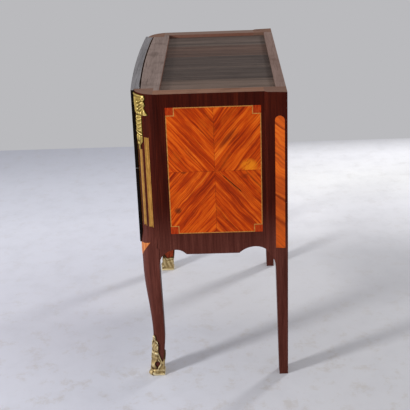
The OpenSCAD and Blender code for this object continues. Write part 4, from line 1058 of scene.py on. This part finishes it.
# Painted light on the floor: its brightness from the wall (0) to the middle of the chest (1), in
# front of it and behind it
FRONT_FLOOR_LIGHT = ((0.0, 195), (0.13, 204), (0.31, 221), (0.58, 233), (0.74, 226), (0.87, 217),
               (1.0, 213))
BACK_FLOOR_LIGHT = ((0.0, 196), (0.05, 224), (0.12, 247), (0.3, 255), (0.5, 249), (0.63, 238),
              (0.75, 214), (1.0, 208))

# Where the front tone gives way to the back one, and middle and reach of a painted patch of light
# under the chest, in mm
FRONT_FLOOR_Y, BACK_FLOOR_Y = -320.0, 420.0
PAINTED_LIGHT_PATCH = (-190.0, 20.0), (330.0, 520.0)

# Distance of the wall from the middle of the chest in mm, and reach of the floor in metres
WALL_OFF = 1710.0
FLOOR_REACH = 30.0
WALL_TONE = card(186, 186, 189)
LAMP_AIM = Vector((0.0, 0.0, 0.35))

# The camera in the photograph's place: yaw, pitch and roll in degrees, place in metres, focal
# length and side of the picture in pixels
CAMERA_TURN = (-1.21768, 21.94712, -2.14760)
CAMERA_PLACE = (2.77857, BACK_Y * MM - 0.1672, 1.49413)
FOCAL_PX = 979.145
PICTURE_PX = 410.0
SENSOR_MM = 36.0


def studio_floor():
    """Pale floor with painted light: brightest between the chest and the wall, and lightened under
    the chest.
    """
    f = Finish("studio floor")
    x, y = f.parts(f.place)[:2]
    scuff = f.noise(f.place, (0.012, 0.012, 0.012), 5.0, 0.6)
    speck = f.step(f.noise(f.place, (0.05, 0.035, 0.05), 2.0), 0.74, 0.8)
    depth = (x + WALL_OFF) / WALL_OFF
    # Painted light: the floor's brightness ramps with depth, in front of the chest and behind it
    front = f.ramp(depth, *((at, card(v - 1, v + 1, min(v + 11, 255))) for at, v in FRONT_FLOOR_LIGHT))
    back = f.ramp(depth, *((at, card(v, v, min(v + 4, 255))) for at, v in BACK_FLOOR_LIGHT))
    color = f.mix(f.step(y, FRONT_FLOOR_Y, BACK_FLOOR_Y), front, back)
    color = f.mix(f.step(scuff, 0.4, 0.75) * 0.14, color, card(180, 180, 186))
    color = f.mix(speck * 0.3, color, card(158, 150, 144))
    # Painted light: a paler patch under the chest lightens the shadow there
    color = f.mix(patch(f, x, y, *PAINTED_LIGHT_PATCH) * 0.6, color, card(232, 232, 236))
    worn = f.step(f.noise(f.place, (0.016, 0.016, 0.016), 6.0, 0.72), 0.5, 0.68)
    worn = worn * f.step(x, -400.0, 500.0, 0.2, 0.6)
    color = f.mix(worn, color, f.mix(0.5, color, card(176, 164, 146)))
    return f.polish(color, 0.8, scuff, 0.0006, Specular_IOR_Level=0.1)


def stage_floor():
    wall = -WALL_OFF * MM
    points = [(wall, -FLOOR_REACH, 0.0), (FLOOR_REACH, -FLOOR_REACH, 0.0),
              (FLOOR_REACH, FLOOR_REACH, 0.0), (wall, FLOOR_REACH, 0.0)]
    mesh = bpy.data.meshes.new("floor")
    mesh.from_pydata(points, [], [(0, 1, 2, 3)])
    mesh.materials.append(studio_floor())
    floor = bpy.data.objects.new("floor", mesh)
    scene.collection.objects.link(floor)


def studio_wall():
    world = bpy.data.worlds.new("studio wall")
    world.use_nodes = True
    background = world.node_tree.nodes["Background"]
    background.inputs["Color"].default_value = WALL_TONE
    background.inputs["Strength"].default_value = 1.0
    scene.world = world


def lamp(name, place, size, power):
    light = bpy.data.lights.new(name, "AREA")
    light.shape = "DISK"
    light.size = size
    light.energy = power
    shade = bpy.data.objects.new(name, light)
    shade.location = place
    shade.rotation_mode = "QUATERNION"
    shade.rotation_quaternion = (LAMP_AIM - Vector(place)).to_track_quat("-Z", "Y")
    shade.visible_camera = False
    scene.collection.objects.link(shade)


def photo_camera():
    """Camera at the photograph's place, looking down at the right side."""
    yaw, pitch, roll = (math.radians(a) for a in CAMERA_TURN)
    ahead = Vector((-math.cos(pitch) * math.cos(yaw), math.cos(pitch) * math.sin(yaw),
                    -math.sin(pitch)))
    level = ahead.cross(Vector((0.0, 0.0, 1.0))).normalized()
    over = level.cross(ahead)
    right = level * math.cos(roll) + over * math.sin(roll)
    up = over * math.cos(roll) - level * math.sin(roll)
    turn = Matrix((right, up, -ahead)).transposed()
    data = bpy.data.cameras.new("camera")
    data.sensor_width = SENSOR_MM
    data.lens = FOCAL_PX / PICTURE_PX * SENSOR_MM
    data.clip_start = 0.05
    camera = bpy.data.objects.new("camera", data)
    camera.rotation_mode = "QUATERNION"
    camera.rotation_quaternion = turn.to_quaternion()
    camera.location = CAMERA_PLACE
    scene.collection.objects.link(camera)
    scene.camera = camera


stage_floor()
studio_wall()
lamp("key lamp", (1.754, -2.225, 1.55), 0.42, 57.0)
lamp("back lamp", (-1.86, 1.92, 1.9), 0.5, 31.0)
photo_camera()
